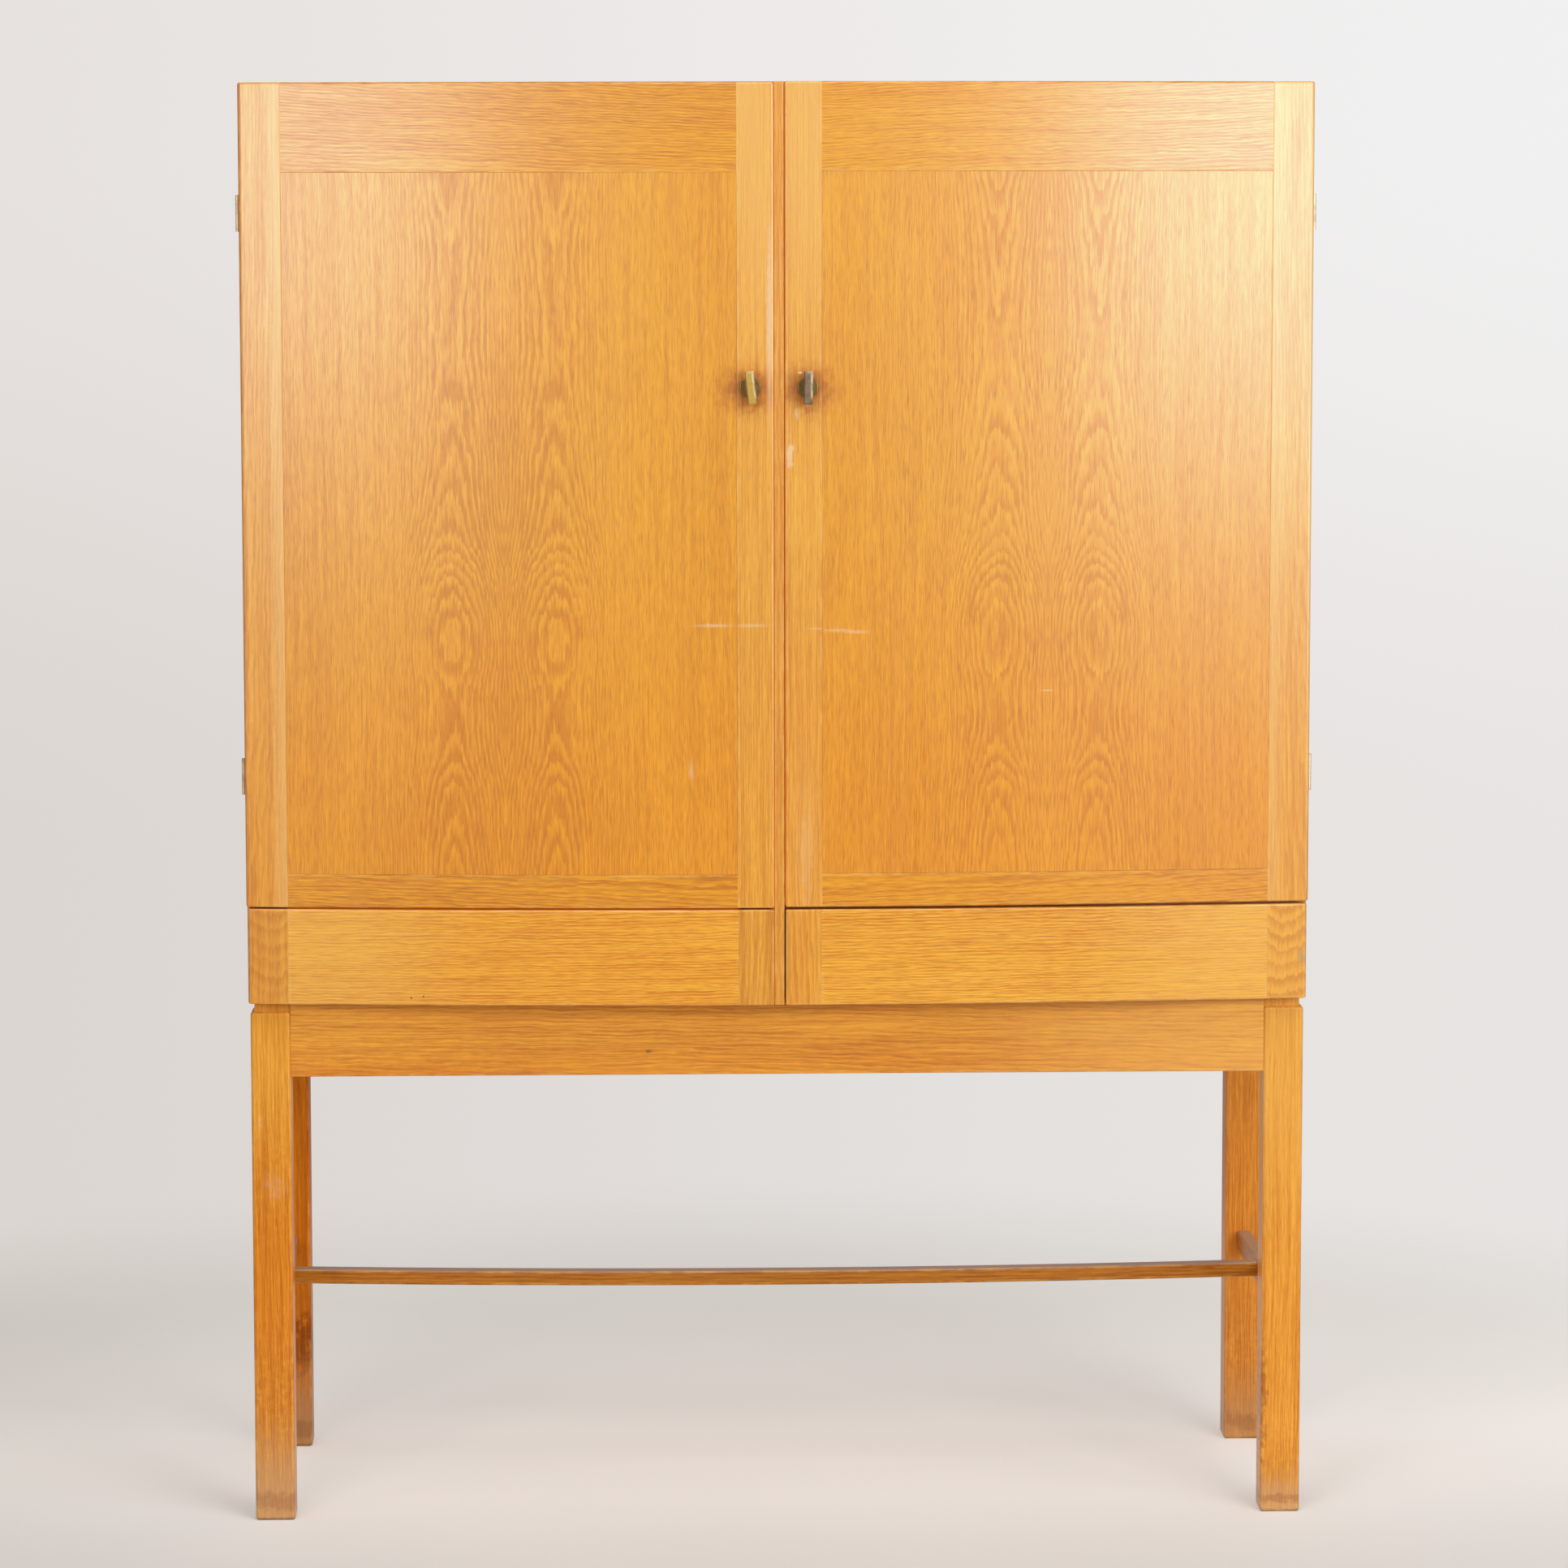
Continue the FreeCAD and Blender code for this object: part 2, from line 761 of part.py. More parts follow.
def rosette():
    disc = rod(rosette_radius, knob_point(rosette_seat - rosette_thickness), knob_point(rosette_seat))
    front_y = knob_face_y + rosette_seat - rosette_thickness
    rim = [edge for edge in disc.Edges if all(abs(v.Y - front_y) < 1e-4 for v in edge.Vertexes)]
    disc = disc.makeFillet(rosette_round, rim)
    bore_radius = spindle_radius + running_clearance
    return disc.cut(rod(bore_radius, knob_point(-rosette_thickness), knob_point(rosette_seat)))


def tilted(shape, tilt):
    """Turned about the knob's axis towards locking."""
    shape.rotate(knob_point(0), Vector(0, -1, 0), tilt)
    return shape


def knob_bar(tilt):
    y0 = knob_face_y - knob_reach
    y1 = y0 + knob_bar_thickness
    half = knob_bar_width / 2
    bar = box(knob_x - half, knob_x + half, y0, y1, knob_z - knob_bar_height / 2, knob_z + knob_bar_height / 2)
    face = [edge for edge in bar.Edges if all(abs(v.Y - y0) < 1e-4 for v in edge.Vertexes)]
    bar = bar.makeChamfer(knob_bar_bevel, face)
    neck_end = rosette_seat - rosette_thickness - knob_neck_gap
    neck = rod(knob_neck_radius, knob_point(knob_bar_thickness - knob_reach), knob_point(neck_end))
    socket = rod(spindle_radius, knob_point(knob_bar_thickness - knob_reach), knob_point(neck_end))
    return tilted(fused(bar, neck).cut(socket), tilt)


def spindle():
    end = front_thickness + tongue_set + tongue_thickness
    return rod(spindle_radius, knob_point(knob_bar_thickness - knob_reach), knob_point(end))


def latch_tongue(tilt):
    start = front_thickness + tongue_set
    end = start + tongue_thickness
    half = tongue_width / 2
    tip_z = knob_z - tongue_reach + half
    bar = box(knob_x - half, knob_x + half, tongue_y0, tongue_y1, tip_z, knob_z)
    drop = Vector(0, 0, tip_z - knob_z)
    tip = rod(half, knob_point(start) + drop, knob_point(end) + drop)
    eye = rod(half + spindle_radius / 2, knob_point(start), knob_point(end))
    hole = rod(spindle_radius, knob_point(start), knob_point(end))
    return tilted(fused(bar, tip, eye).cut(hole), tilt)


def latch_slot_heights():
    """The slot takes the tongue as it swings up into the partition."""
    half = tongue_width / 2 + latch_clearance
    low = math.sqrt(tongue_reach ** 2 - tongue_gap ** 2)
    return knob_z - low - half, knob_z + half


def latch_pocket():
    z0, z1 = latch_slot_heights()
    x1 = -partition_x + tongue_engagement + latch_clearance
    return box(-partition_x, x1, tongue_y0 - latch_clearance, tongue_y1 + latch_clearance, z0, z1)


def keeper_seat():
    z0, z1 = latch_slot_heights()
    y0 = tongue_y0 - latch_clearance - keeper_margin
    y1 = tongue_y1 + latch_clearance + keeper_margin
    x1 = -partition_x + keeper_thickness
    return box(-partition_x, x1, y0, y1, z0 - keeper_margin, z1 + keeper_margin)


def keeper():
    return keeper_seat().cut(latch_pocket())


# Drawers, worked out as the left drawer and mirrored for the right

class Drawer:
    """Edges of one drawer, in the left drawer's place."""

    def __init__(self, centre_gap):
        self.x0 = -half_width + drawer_end_inset
        self.x1 = -fillet_width / 2 - centre_gap
        self.form = front_slab(self.x0, self.x1, case_bottom, drawer_front_top)
        self.field_x0 = self.x0 + outer_end_block_width
        self.field_x1 = self.x1 - inner_end_block_width

    def front_piece(self, x0, x1):
        y0 = knob_face_y - knob_reach
        piece = self.form.common(box(x0, x1, y0, back_y, case_bottom, drawer_front_top))
        return piece.cut(self.bottom())

    def front(self):
        return self.front_piece(self.field_x0, self.field_x1)

    def end_blocks(self):
        return [self.front_piece(self.x0, self.field_x0), self.front_piece(self.field_x1, self.x1)]

    def sides(self):
        outer = bow_board(
            drawer_x0, drawer_x0 + drawer_side_thickness, drawer_z0, drawer_z1, front_thickness, drawer_back_y)
        inner = bow_board(
            drawer_x1 - drawer_side_thickness, drawer_x1, drawer_z0, drawer_z1, front_thickness, drawer_back_y)
        return [side.cut([self.bottom()] + self.runner_grooves()) for side in (outer, inner)]

    def runner_grooves(self):
        low = runner_z - runner_height / 2 - runner_clearance
        high = runner_z + runner_height / 2 + runner_clearance
        y0 = runner_y0 - runner_clearance
        return [
            box(drawer_x0, drawer_x0 + runner_thickness, y0, drawer_back_y, low, high),
            box(drawer_x1 - runner_thickness, drawer_x1, y0, drawer_back_y, low, high),
        ]

    def back(self):
        z0 = drawer_bottom_z + drawer_bottom_thickness
        z1 = drawer_z1 - drawer_back_drop
        x0 = drawer_x0 + drawer_side_thickness
        x1 = drawer_x1 - drawer_side_thickness
        return box(x0, x1, drawer_back_y - drawer_back_thickness, drawer_back_y, z0, z1)

    def bottom(self):
        x0 = drawer_x0 + drawer_side_thickness - drawer_groove
        x1 = drawer_x1 - drawer_side_thickness + drawer_groove
        z1 = drawer_bottom_z + drawer_bottom_thickness
        return bow_board(x0, x1, drawer_bottom_z, z1, front_thickness - drawer_groove, drawer_back_y)


def left_runners():
    z0 = runner_z - runner_height / 2
    z1 = runner_z + runner_height / 2
    return [
        box(-inner_x, -inner_x + runner_thickness, runner_y0, runner_y1, z0, z1),
        box(-partition_x - runner_thickness, -partition_x, runner_y0, runner_y1, z0, z1),
    ]


def stand_nodes():
    leg = front_left_leg()
    apron = front_apron()
    return {
        "front_left_leg": leg,
        "front_right_leg": mirrored(leg),
        "back_left_leg": mirrored_back(leg),
        "back_right_leg": mirrored(mirrored_back(leg)),
        "front_apron": apron,
        "back_apron": mirrored_back(apron),
        "left_apron": left_apron(),
        "right_apron": mirrored(left_apron()),
        "left_stretcher": left_stretcher(),
        "right_stretcher": mirrored(left_stretcher()),
        "long_stretcher": long_stretcher(),
    }


def case_nodes():
    return {
        "left_side": left_side(),
        "right_side": mirrored(left_side()),
        "top_board": top_board(),
        "bottom_board": bottom_board(),
        "centre_partition": centre_partition(),
        "centre_fillet": centre_fillet(),
        "left_middle_board": left_middle_board(),
        "right_middle_board": mirrored(left_middle_board()),
        "back_panel": back_panel(),
        "back_panel_screws": panel_screws(),
        "shelves": both_sides(left_shelves()),
        "shelf_pins": shelf_pins(),
        "drawer_runners": both_sides(left_runners()),
        "latch_keepers": both_sides([keeper()]),
        "hinge_case_leaves": both_sides(hinge_parts_of(case_leaf)),
        "hinge_pins": both_sides(hinge_parts_of(hinge_pin)),
        "hinge_case_screws": both_sides(hinge_parts_of(case_leaf_screws)),
    }


def door_nodes(side, centre_gap, drop):
    door = Door(centre_gap, drop)
    pieces = {
        "door_outer_stile": [door.outer_stile()],
        "door_inner_stile": [door.inner_stile()],
        "door_top_rail": [door.top_rail()],
        "door_bottom_rail": [door.bottom_rail()],
        "door_panel": [door.panel()],
        "door_hinge_leaves": hinge_parts_of(door_leaf),
        "door_hinge_screws": hinge_parts_of(door_leaf_screws),
        "knob_rosette": [rosette()],
    }
    return {side + "_" + name: [on_side(side, shape) for shape in shapes] for name, shapes in pieces.items()}


def knob_nodes(side, tilt):
    pieces = {"knob_bar": knob_bar(tilt), "knob_spindle": spindle(), "latch_tongue": latch_tongue(tilt)}
    return {side + "_" + name: on_side(side, shape) for name, shape in pieces.items()}


def drawer_nodes(side, centre_gap):
    drawer = Drawer(centre_gap)
    pieces = {
        "drawer_front": [drawer.front()],
        "drawer_front_ends": drawer.end_blocks(),
        "drawer_sides": drawer.sides(),
        "drawer_back": [drawer.back()],
        "drawer_bottom": [drawer.bottom()],
    }
    return {side + "_" + name: [on_side(side, shape) for shape in shapes] for name, shapes in pieces.items()}


def all_nodes():
    nodes = {}
    nodes.update(stand_nodes())
    nodes.update(case_nodes())
    nodes.update(door_nodes("left", left_centre_gap, left_door_drop))
    nodes.update(door_nodes("right", right_centre_gap, right_door_drop))
    nodes.update(knob_nodes("left", left_knob_tilt))
    nodes.update(knob_nodes("right", right_knob_tilt))
    nodes.update(drawer_nodes("left", left_centre_gap))
    nodes.update(drawer_nodes("right", right_centre_gap))
    return nodes


def solids_of(shapes):
    listed = shapes if isinstance(shapes, list) else [shapes]
    return [solid for shape in listed for solid in shape.Solids]


os.makedirs("parts", exist_ok=True)
for node, shapes in all_nodes().items():
    solids = solids_of(shapes)
    piece = solids[0] if len(solids) == 1 else Part.makeCompound(solids)
    piece.exportStep("parts/" + node + ".step")
    print(node, len(solids), "solids", round(sum(solid.Volume for solid in solids)), "mm3")
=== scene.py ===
import math

import bpy
import numpy as np
from mathutils import Euler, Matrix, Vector


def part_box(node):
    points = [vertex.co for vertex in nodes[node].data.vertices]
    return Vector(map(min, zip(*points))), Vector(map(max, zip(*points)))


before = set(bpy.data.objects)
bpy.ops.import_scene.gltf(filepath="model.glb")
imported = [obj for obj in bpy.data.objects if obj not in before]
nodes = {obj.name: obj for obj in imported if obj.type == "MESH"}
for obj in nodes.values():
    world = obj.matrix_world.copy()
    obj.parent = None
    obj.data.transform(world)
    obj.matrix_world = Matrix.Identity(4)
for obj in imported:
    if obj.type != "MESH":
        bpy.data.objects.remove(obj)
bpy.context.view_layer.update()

# Sizes and places in metres, in the frame of the cabinet

SIDES = {"left": -1.0, "right": 1.0}
BOW_RADIUS = 5.471
KNOB_LOW, KNOB_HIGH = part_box("right_knob_rosette")
KNOB_X = (KNOB_LOW[0] + KNOB_HIGH[0]) / 2
KNOB_Z = (KNOB_LOW[2] + KNOB_HIGH[2]) / 2

# A mark's reach along an axis on which it has no end, and into the wood from the front
ENDLESS = 9.0
FACE = 0.012

# The turns that lay a piece's grain along Z, so that X is across the board and Y goes into it
GRAIN_TURN = {"X": (0.0, math.pi / 2, 0.0), "Y": (math.pi / 2, 0.0, 0.0), "Z": (0.0, 0.0, 0.0)}

# Tones of the oak, as the light that it reflects: between the rings, in the rings, in the pores
DOOR_OAK = {"light": (0.91, 0.420, 0.030), "dark": (0.70, 0.264, 0.011), "pore": (0.36, 0.10, 0.003)}
STILE_OAK = {"light": (0.92, 0.455, 0.062), "dark": (0.69, 0.274, 0.019), "pore": (0.40, 0.12, 0.005)}
RAIL_OAK = {"light": (0.915, 0.417, 0.027), "dark": (0.63, 0.221, 0.007), "pore": (0.34, 0.09, 0.003)}
DRAWER_OAK = {"light": (1.0, 0.500, 0.049), "dark": (0.70, 0.236, 0.009), "pore": (0.35, 0.10, 0.004)}
STAND_OAK = {"light": (0.955, 0.445, 0.048), "dark": (0.63, 0.204, 0.009), "pore": (0.33, 0.09, 0.004)}
LEG_OAK = {"light": (0.90, 0.418, 0.058), "dark": (0.60, 0.194, 0.012), "pore": (0.31, 0.08, 0.004)}
# A darker copy of the stile's oak for the fillet: painted shade of its recess between the doors
SHADED_FILLET_OAK = {"light": (0.87, 0.405, 0.060), "dark": (0.64, 0.240, 0.017), "pore": (0.40, 0.12, 0.012)}
RED_OAK = {"light": (0.84, 0.368, 0.052), "dark": (0.56, 0.175, 0.014), "pore": (0.30, 0.07, 0.003)}
SHADED_OAK = {"light": (0.72, 0.232, 0.009), "dark": (0.47, 0.110, 0.003), "pore": (0.22, 0.05, 0.002)}
# A darker copy of the stand's oak for the stretchers: painted shade low under the cabinet
STRETCHER_SHADE_OAK = {"light": (0.60, 0.225, 0.022), "dark": (0.34, 0.098, 0.007), "pore": (0.20, 0.05, 0.004)}
CASE_OAK = {"light": (0.84, 0.390, 0.052), "dark": (0.62, 0.230, 0.018), "pore": (0.33, 0.11, 0.010)}
INSIDE_OAK = {"light": (0.74, 0.47, 0.20), "dark": (0.58, 0.33, 0.12), "pore": (0.40, 0.20, 0.06)}
BACK_WOOD = {"light": (0.70, 0.45, 0.20), "dark": (0.54, 0.31, 0.115), "pore": (0.38, 0.20, 0.07)}

# How strong each part of the grain shows: tone steps at the rings and how broken they are, fine straight
# lines, broad streaks and open pores. The bands and lines of a door's panel change over it.
PANEL_GRAIN = {"breaks": 0.35, "streaks": 0.22, "pores": 0.42}
STILE_GRAIN = {"bands": 0.60, "breaks": 0.4, "lines": 0.75, "streaks": 0.7, "pores": 0.3}
RAIL_GRAIN = {"bands": 0.80, "breaks": 0.4, "lines": 0.48, "streaks": 0.05, "pores": 0.4}
DRAWER_GRAIN = {"bands": 0.95, "breaks": 0.4, "lines": 0.48, "streaks": 0.05, "pores": 0.4}
STAND_GRAIN = {"bands": 0.45, "breaks": 0.5, "lines": 0.60, "streaks": 0.6, "pores": 0.3}
LEG_GRAIN = {"bands": 0.30, "breaks": 0.5, "lines": 0.70, "streaks": 0.6, "pores": 0.3}
CATHEDRAL_GRAIN = {"bands": 0.80, "breaks": 0.3, "lines": 0.40, "streaks": 0.6, "pores": 0.25}

# Noise, by its changes to the metre along X, Y and Z, which in a board are across, into and along it
WANDER_NOISE = (15.0, 15.0, 3.2)
RIPPLE_NOISE = (55.0, 55.0, 20.0)
FEATHER_NOISE = (300.0, 300.0, 30.0)
STREAK_NOISE = (80.0, 80.0, 1.3)
DRIFT_NOISE = (9.0, 9.0, 2.2)
LINE_NOISE = (400.0, 400.0, 6.0)
PORE_NOISE = (1050.0, 1050.0, 60.0)
EDGE_PATCH_NOISE = (38.0, 38.0, 38.0)
RIM_NOISE = (130.0, 130.0, 130.0)
TARNISH_NOISE = (110.0, 110.0, 110.0)
SCRATCH_NOISE = (2600.0, 2600.0, 160.0)
FLOOR_NOISE = (2.5, 2.5, 2.5)

# How far a seed of one moves a noise, and the step between the seeds of two pieces
SEED_SHIFT = (11.3, 7.9, 5.1)
SEED_STEP = 1.618

# Growth: breaks to a ring and to the metre of grain, good and bad years to the metre from the pith, and the
# distance from the pith at which slowed rings have their given width
BREAKS_ACROSS = 1.3
BREAKS_ALONG = 24.0
YEARS = 160.0
OLD_REACH = 0.18

# Edges and joints: reach and strength of the paled edges (wear and a painted highlight), and a joint line's
# width
WORN_AND_HIGHLIT_REACH = 0.004
WORN_AND_HIGHLIT_STRENGTH = 0.5
WORN_AND_HIGHLIT_OAK = (0.86, 0.50, 0.13)
JOINT_WIDTH = 0.0014
JOINT_FULL = 0.0002
JOINT_BROWN = (0.30, 0.10, 0.012)

# Lacquer: the coat's weight and what a furrow takes off, the wood's roughness and what a furrow adds
COAT_WEIGHT = 0.74
COAT_LOST = 0.12
COAT_IOR = 1.6
COAT_ROUGHNESS = 0.22
WOOD_ROUGHNESS = (0.26, 0.31)
FURROW_ROUGHNESS = 0.08

# Painted glow in gaps, for bounced light: how much of a face's edge takes part, and where behind the front
# they start
GAP_EDGE = 0.0004
GAP_START = 0.001
GAP_FULL = 0.003
UNLIT = (0.0, 0.0, 0.0)


class Tree:
    """Short words for building a node tree: a node is added, set and linked in one call."""

    def __init__(self, tree):
        self.nodes = tree.nodes
        self.links = tree.links

    def feed(self, socket, value):
        """Links a socket to an output, or sets its own value, where a colour is opaque."""
        if isinstance(value, bpy.types.NodeSocket):
            self.links.new(value, socket)
        elif socket.type == "RGBA":
            socket.default_value = (*value, 1.0)
        else:
            socket.default_value = value

    def add(self, kind, values=(), **settings):
        """A node with its settings, and its inputs fed in order or by name."""
        node = self.nodes.new(kind)
        for name, value in settings.items():
            setattr(node, name, value)
        pairs = values.items() if isinstance(values, dict) else enumerate(values)
        for key, value in pairs:
            self.feed(node.inputs[key], value)
        return node

    def math(self, operation, *values, clamp=False):
        return self.add("ShaderNodeMath", values, operation=operation, use_clamp=clamp).outputs[0]

    def vector(self, operation, *values):
        return self.add("ShaderNodeVectorMath", values, operation=operation).outputs[0]

    def length(self, vector):
        return self.add("ShaderNodeVectorMath", [vector], operation="LENGTH").outputs["Value"]

    def split(self, vector):
        return self.add("ShaderNodeSeparateXYZ", [vector]).outputs

    def join(self, x, y, z):
        return self.add("ShaderNodeCombineXYZ", [x, y, z]).outputs[0]

    def own_point(self):
        """The point on the piece, in the frame of the cabinet."""
        return self.add("ShaderNodeTexCoord").outputs["Object"]

    def turned(self, point, centre, turn):
        """The point as it lies from the centre, after a turn."""
        values = {"Vector": point, "Location": -(turn.to_matrix() @ Vector(centre)), "Rotation": turn}
        return self.add("ShaderNodeMapping", values).outputs[0]

    def noise(self, vector, detail=2.0, roughness=0.5):
        values = {"Vector": vector, "Scale": 1.0, "Detail": detail, "Roughness": roughness}
        return self.add("ShaderNodeTexNoise", values).outputs[0]

    def own_noise(self, point, seed, changes, detail=2.0, roughness=0.5):
        """Noise with so many changes to the metre, moved to a place of its own by the seed."""
        shift = self.add("ShaderNodeVectorMath", {0: SEED_SHIFT, "Scale": seed}, operation="SCALE").outputs[0]
        place = self.vector("ADD", self.vector("MULTIPLY", point, changes), shift)
        return self.noise(place, detail, roughness)

    def ramp(self, value, start, end, low=0.0, high=1.0):
        """A smooth step from low to high as the value goes from start to end."""
        values = {"Value": value, "From Min": start, "From Max": end, "To Min": low, "To Max": high}
        return self.add("ShaderNodeMapRange", values, interpolation_type="SMOOTHSTEP").outputs[0]

    def share(self, value, start, end):
        """How far the value is on the straight way from start to end."""
        return self.math("DIVIDE", self.math("SUBTRACT", value, start), end - start)

    def mix(self, share, first, second, blend="MIX"):
        values = {0: share, 6: first, 7: second}
        return self.add("ShaderNodeMix", values, data_type="RGBA", blend_type=blend).outputs[2]

    def group(self, group, **values):
        """A placed group, whose inputs are named with underscores for spaces."""
        named = {name.replace("_", " "): value for name, value in values.items()}
        return self.add("ShaderNodeGroup", named, node_tree=group).outputs

    def bump(self, inputs, height, strength, depth):
        """Relief on a shader's normal."""
        values = {"Strength": strength, "Distance": depth, "Height": height}
        self.feed(inputs["Normal"], self.add("ShaderNodeBump", values).outputs["Normal"])


def new_group(name, inputs, outputs):
    """An empty node group with those named sockets: its tree, words, inputs and outputs."""
    tree = bpy.data.node_groups.new(name, "ShaderNodeTree")
    for label, kind in inputs.items():
        tree.interface.new_socket(name=label, in_out="INPUT", socket_type="NodeSocket" + kind)
    for label, kind in outputs.items():
        tree.interface.new_socket(name=label, in_out="OUTPUT", socket_type="NodeSocket" + kind)
    entry = tree.nodes.new("NodeGroupInput").outputs
    leave = tree.nodes.new("NodeGroupOutput").inputs
    return tree, Tree(tree), entry, leave


def unbowed_group():
    """The point with the bow of the front taken out: Y less the square of X over twice the radius."""
    tree, t, entry, leave = new_group("unbowed", {"Point": "Vector"}, {"Point": "Vector"})
    x, y, z = t.split(entry["Point"])
    sag = t.math("DIVIDE", t.math("MULTIPLY", x, x), 2 * BOW_RADIUS)
    t.feed(leave["Point"], t.join(x, t.math("SUBTRACT", y, sag), z))
    return tree


def rings_group():
    """Growth rings: the distance from the pith, after slow wander and ripples, over the rings' width.
    Slowing growth makes the rings wider near the pith, by a power of the distance."""
    inputs = {"Point": "Vector", "Across": "Float", "Depth": "Float", "Ring Width": "Float",
              "Slowing": "Float", "Wander": "Float", "Ripple": "Float", "Seed": "Float"}
    outputs = {"Point": "Vector", "Reach": "Float", "Ring": "Float"}
    tree, t, entry, leave = new_group("growth_rings", inputs, outputs)
    wander, ripple, feather = (
        t.math("SUBTRACT", t.own_noise(entry["Point"], entry["Seed"], changes), 0.5)
        for changes in (WANDER_NOISE, RIPPLE_NOISE, FEATHER_NOISE))
    shift = t.math("MULTIPLY_ADD", wander, entry["Wander"], t.math("MULTIPLY", ripple, entry["Ripple"]))
    across, depth = entry["Across"], entry["Depth"]
    square = t.math("ADD", t.math("MULTIPLY", across, across), t.math("MULTIPLY", depth, depth))
    reach = t.math("ADD", t.math("SQRT", square), shift)
    t.feed(leave["Point"], t.vector("ADD", entry["Point"], t.join(shift, 0.0, 0.0)))
    t.feed(leave["Reach"], reach)
    age = t.math("MAXIMUM", t.math("DIVIDE", reach, OLD_REACH), 0.001)
    grown = t.math("MULTIPLY", reach, t.math("POWER", age, entry["Slowing"]))
    t.feed(leave["Ring"], t.math("ADD", feather, t.math("DIVIDE", grown, entry["Ring Width"])))
    return tree


def oak_group():
    """Oak's colour, gloss and relief: each ring starts dark and pales outward, broken along the grain and
    stronger in some years, among fine lines, broad streaks and pores."""
    inputs = {"Point": "Vector", "Reach": "Float", "Ring": "Float", "Seed": "Float", "Light": "Color",
              "Dark": "Color", "Pore": "Color", "Bands": "Float", "Breaks": "Float", "Lines": "Float",
              "Streaks": "Float", "Pores": "Float", "Gloss": "Float"}
    outputs = {"Color": "Color", "Roughness": "Float", "Coat Weight": "Float", "Height": "Float"}
    tree, t, entry, leave = new_group("lacquered_oak", inputs, outputs)
    point, seed, reach, ring = entry["Point"], entry["Seed"], entry["Reach"], entry["Ring"]
    streak = t.own_noise(point, seed, STREAK_NOISE, detail=3.0)
    drift = t.own_noise(point, seed, DRIFT_NOISE, detail=1.0)
    lines = t.own_noise(point, seed, LINE_NOISE, detail=3.0, roughness=0.8)
    lines = t.ramp(lines, 0.28, 0.72, -0.15, 1.15)
    pore = t.ramp(t.own_noise(point, seed, PORE_NOISE, detail=1.0), 0.36, 0.78)

    step = t.math("FRACT", ring)
    band = t.math("MULTIPLY", t.ramp(step, 0.0, 0.16), t.ramp(step, 0.16, 0.9, 1.0, 0.0))
    along = t.math("MULTIPLY", t.split(point)[2], BREAKS_ALONG)
    gaps = t.noise(t.join(t.math("MULTIPLY", ring, BREAKS_ACROSS), seed, along), detail=1.0)
    broken = t.math("MULTIPLY", t.ramp(gaps, 0.42, 0.6), entry["Breaks"])
    band = t.math("MULTIPLY", band, t.math("SUBTRACT", 1.0, broken))
    years = t.noise(t.join(t.math("MULTIPLY", reach, YEARS), seed, 0.0), detail=1.0)
    growth = t.math("MULTIPLY", t.ramp(years, 0.3, 0.7, 0.7, 1.2), t.ramp(drift, 0.35, 0.65, 0.75, 1.15))
    band = t.math("MULTIPLY", band, growth)

    shade = t.math("MULTIPLY", t.math("SUBTRACT", drift, 0.5), 0.4)
    shade = t.math("MULTIPLY_ADD", t.math("SUBTRACT", streak, 0.5), entry["Streaks"], shade)
    shade = t.math("MULTIPLY_ADD", band, entry["Bands"], shade)
    shade = t.math("MULTIPLY_ADD", lines, entry["Lines"], shade, clamp=True)
    colour = t.mix(shade, entry["Light"], entry["Dark"])
    colour = t.mix(t.math("MULTIPLY", pore, entry["Pores"], clamp=True), colour, entry["Pore"])
    t.feed(leave["Color"], colour)

    furrow = t.math("MULTIPLY", band, entry["Bands"])
    furrow = t.math("MULTIPLY_ADD", lines, entry["Lines"], furrow)
    furrow = t.math("MULTIPLY_ADD", pore, entry["Pores"], furrow, clamp=True)
    flat = t.ramp(streak, 0.2, 0.8, *WOOD_ROUGHNESS)
    t.feed(leave["Roughness"], t.math("MULTIPLY_ADD", furrow, FURROW_ROUGHNESS, flat))
    coat = t.math("MULTIPLY_ADD", furrow, -COAT_LOST, COAT_WEIGHT)
    t.feed(leave["Coat Weight"], t.math("MULTIPLY", coat, entry["Gloss"]))
    t.feed(leave["Height"], t.math("MULTIPLY_ADD", pore, -1.0, t.math("MULTIPLY", lines, -0.4)))
    return tree


def edge_group():
    """A block's pale edges, worn and with a painted highlight, and its joint lines, by the distance to the
    nearest edge, which is the second smallest of the distances to the faces."""
    inputs = {"Point": "Vector", "Low": "Vector", "High": "Vector", "Reach": "Float", "Seed": "Float"}
    tree, t, entry, leave = new_group("edge_wear_and_highlight", inputs, {"Edge": "Float", "Joint": "Float"})
    from_low = t.vector("SUBTRACT", entry["Point"], entry["Low"])
    from_high = t.vector("SUBTRACT", entry["High"], entry["Point"])
    x, y, z = t.split(t.vector("MINIMUM", from_low, from_high))
    inner = t.math("MINIMUM", t.math("MAXIMUM", x, y), z)
    second = t.math("MAXIMUM", t.math("MINIMUM", x, y), inner)
    patches = t.own_noise(entry["Point"], entry["Seed"], EDGE_PATCH_NOISE, detail=3.0)
    share = t.math("SUBTRACT", 1.0, t.math("DIVIDE", second, entry["Reach"]), clamp=True)
    t.feed(leave["Edge"], t.math("MULTIPLY", share, t.ramp(patches, 0.42, 0.66)))
    t.feed(leave["Joint"], t.ramp(second, JOINT_WIDTH, JOINT_FULL))
    return tree


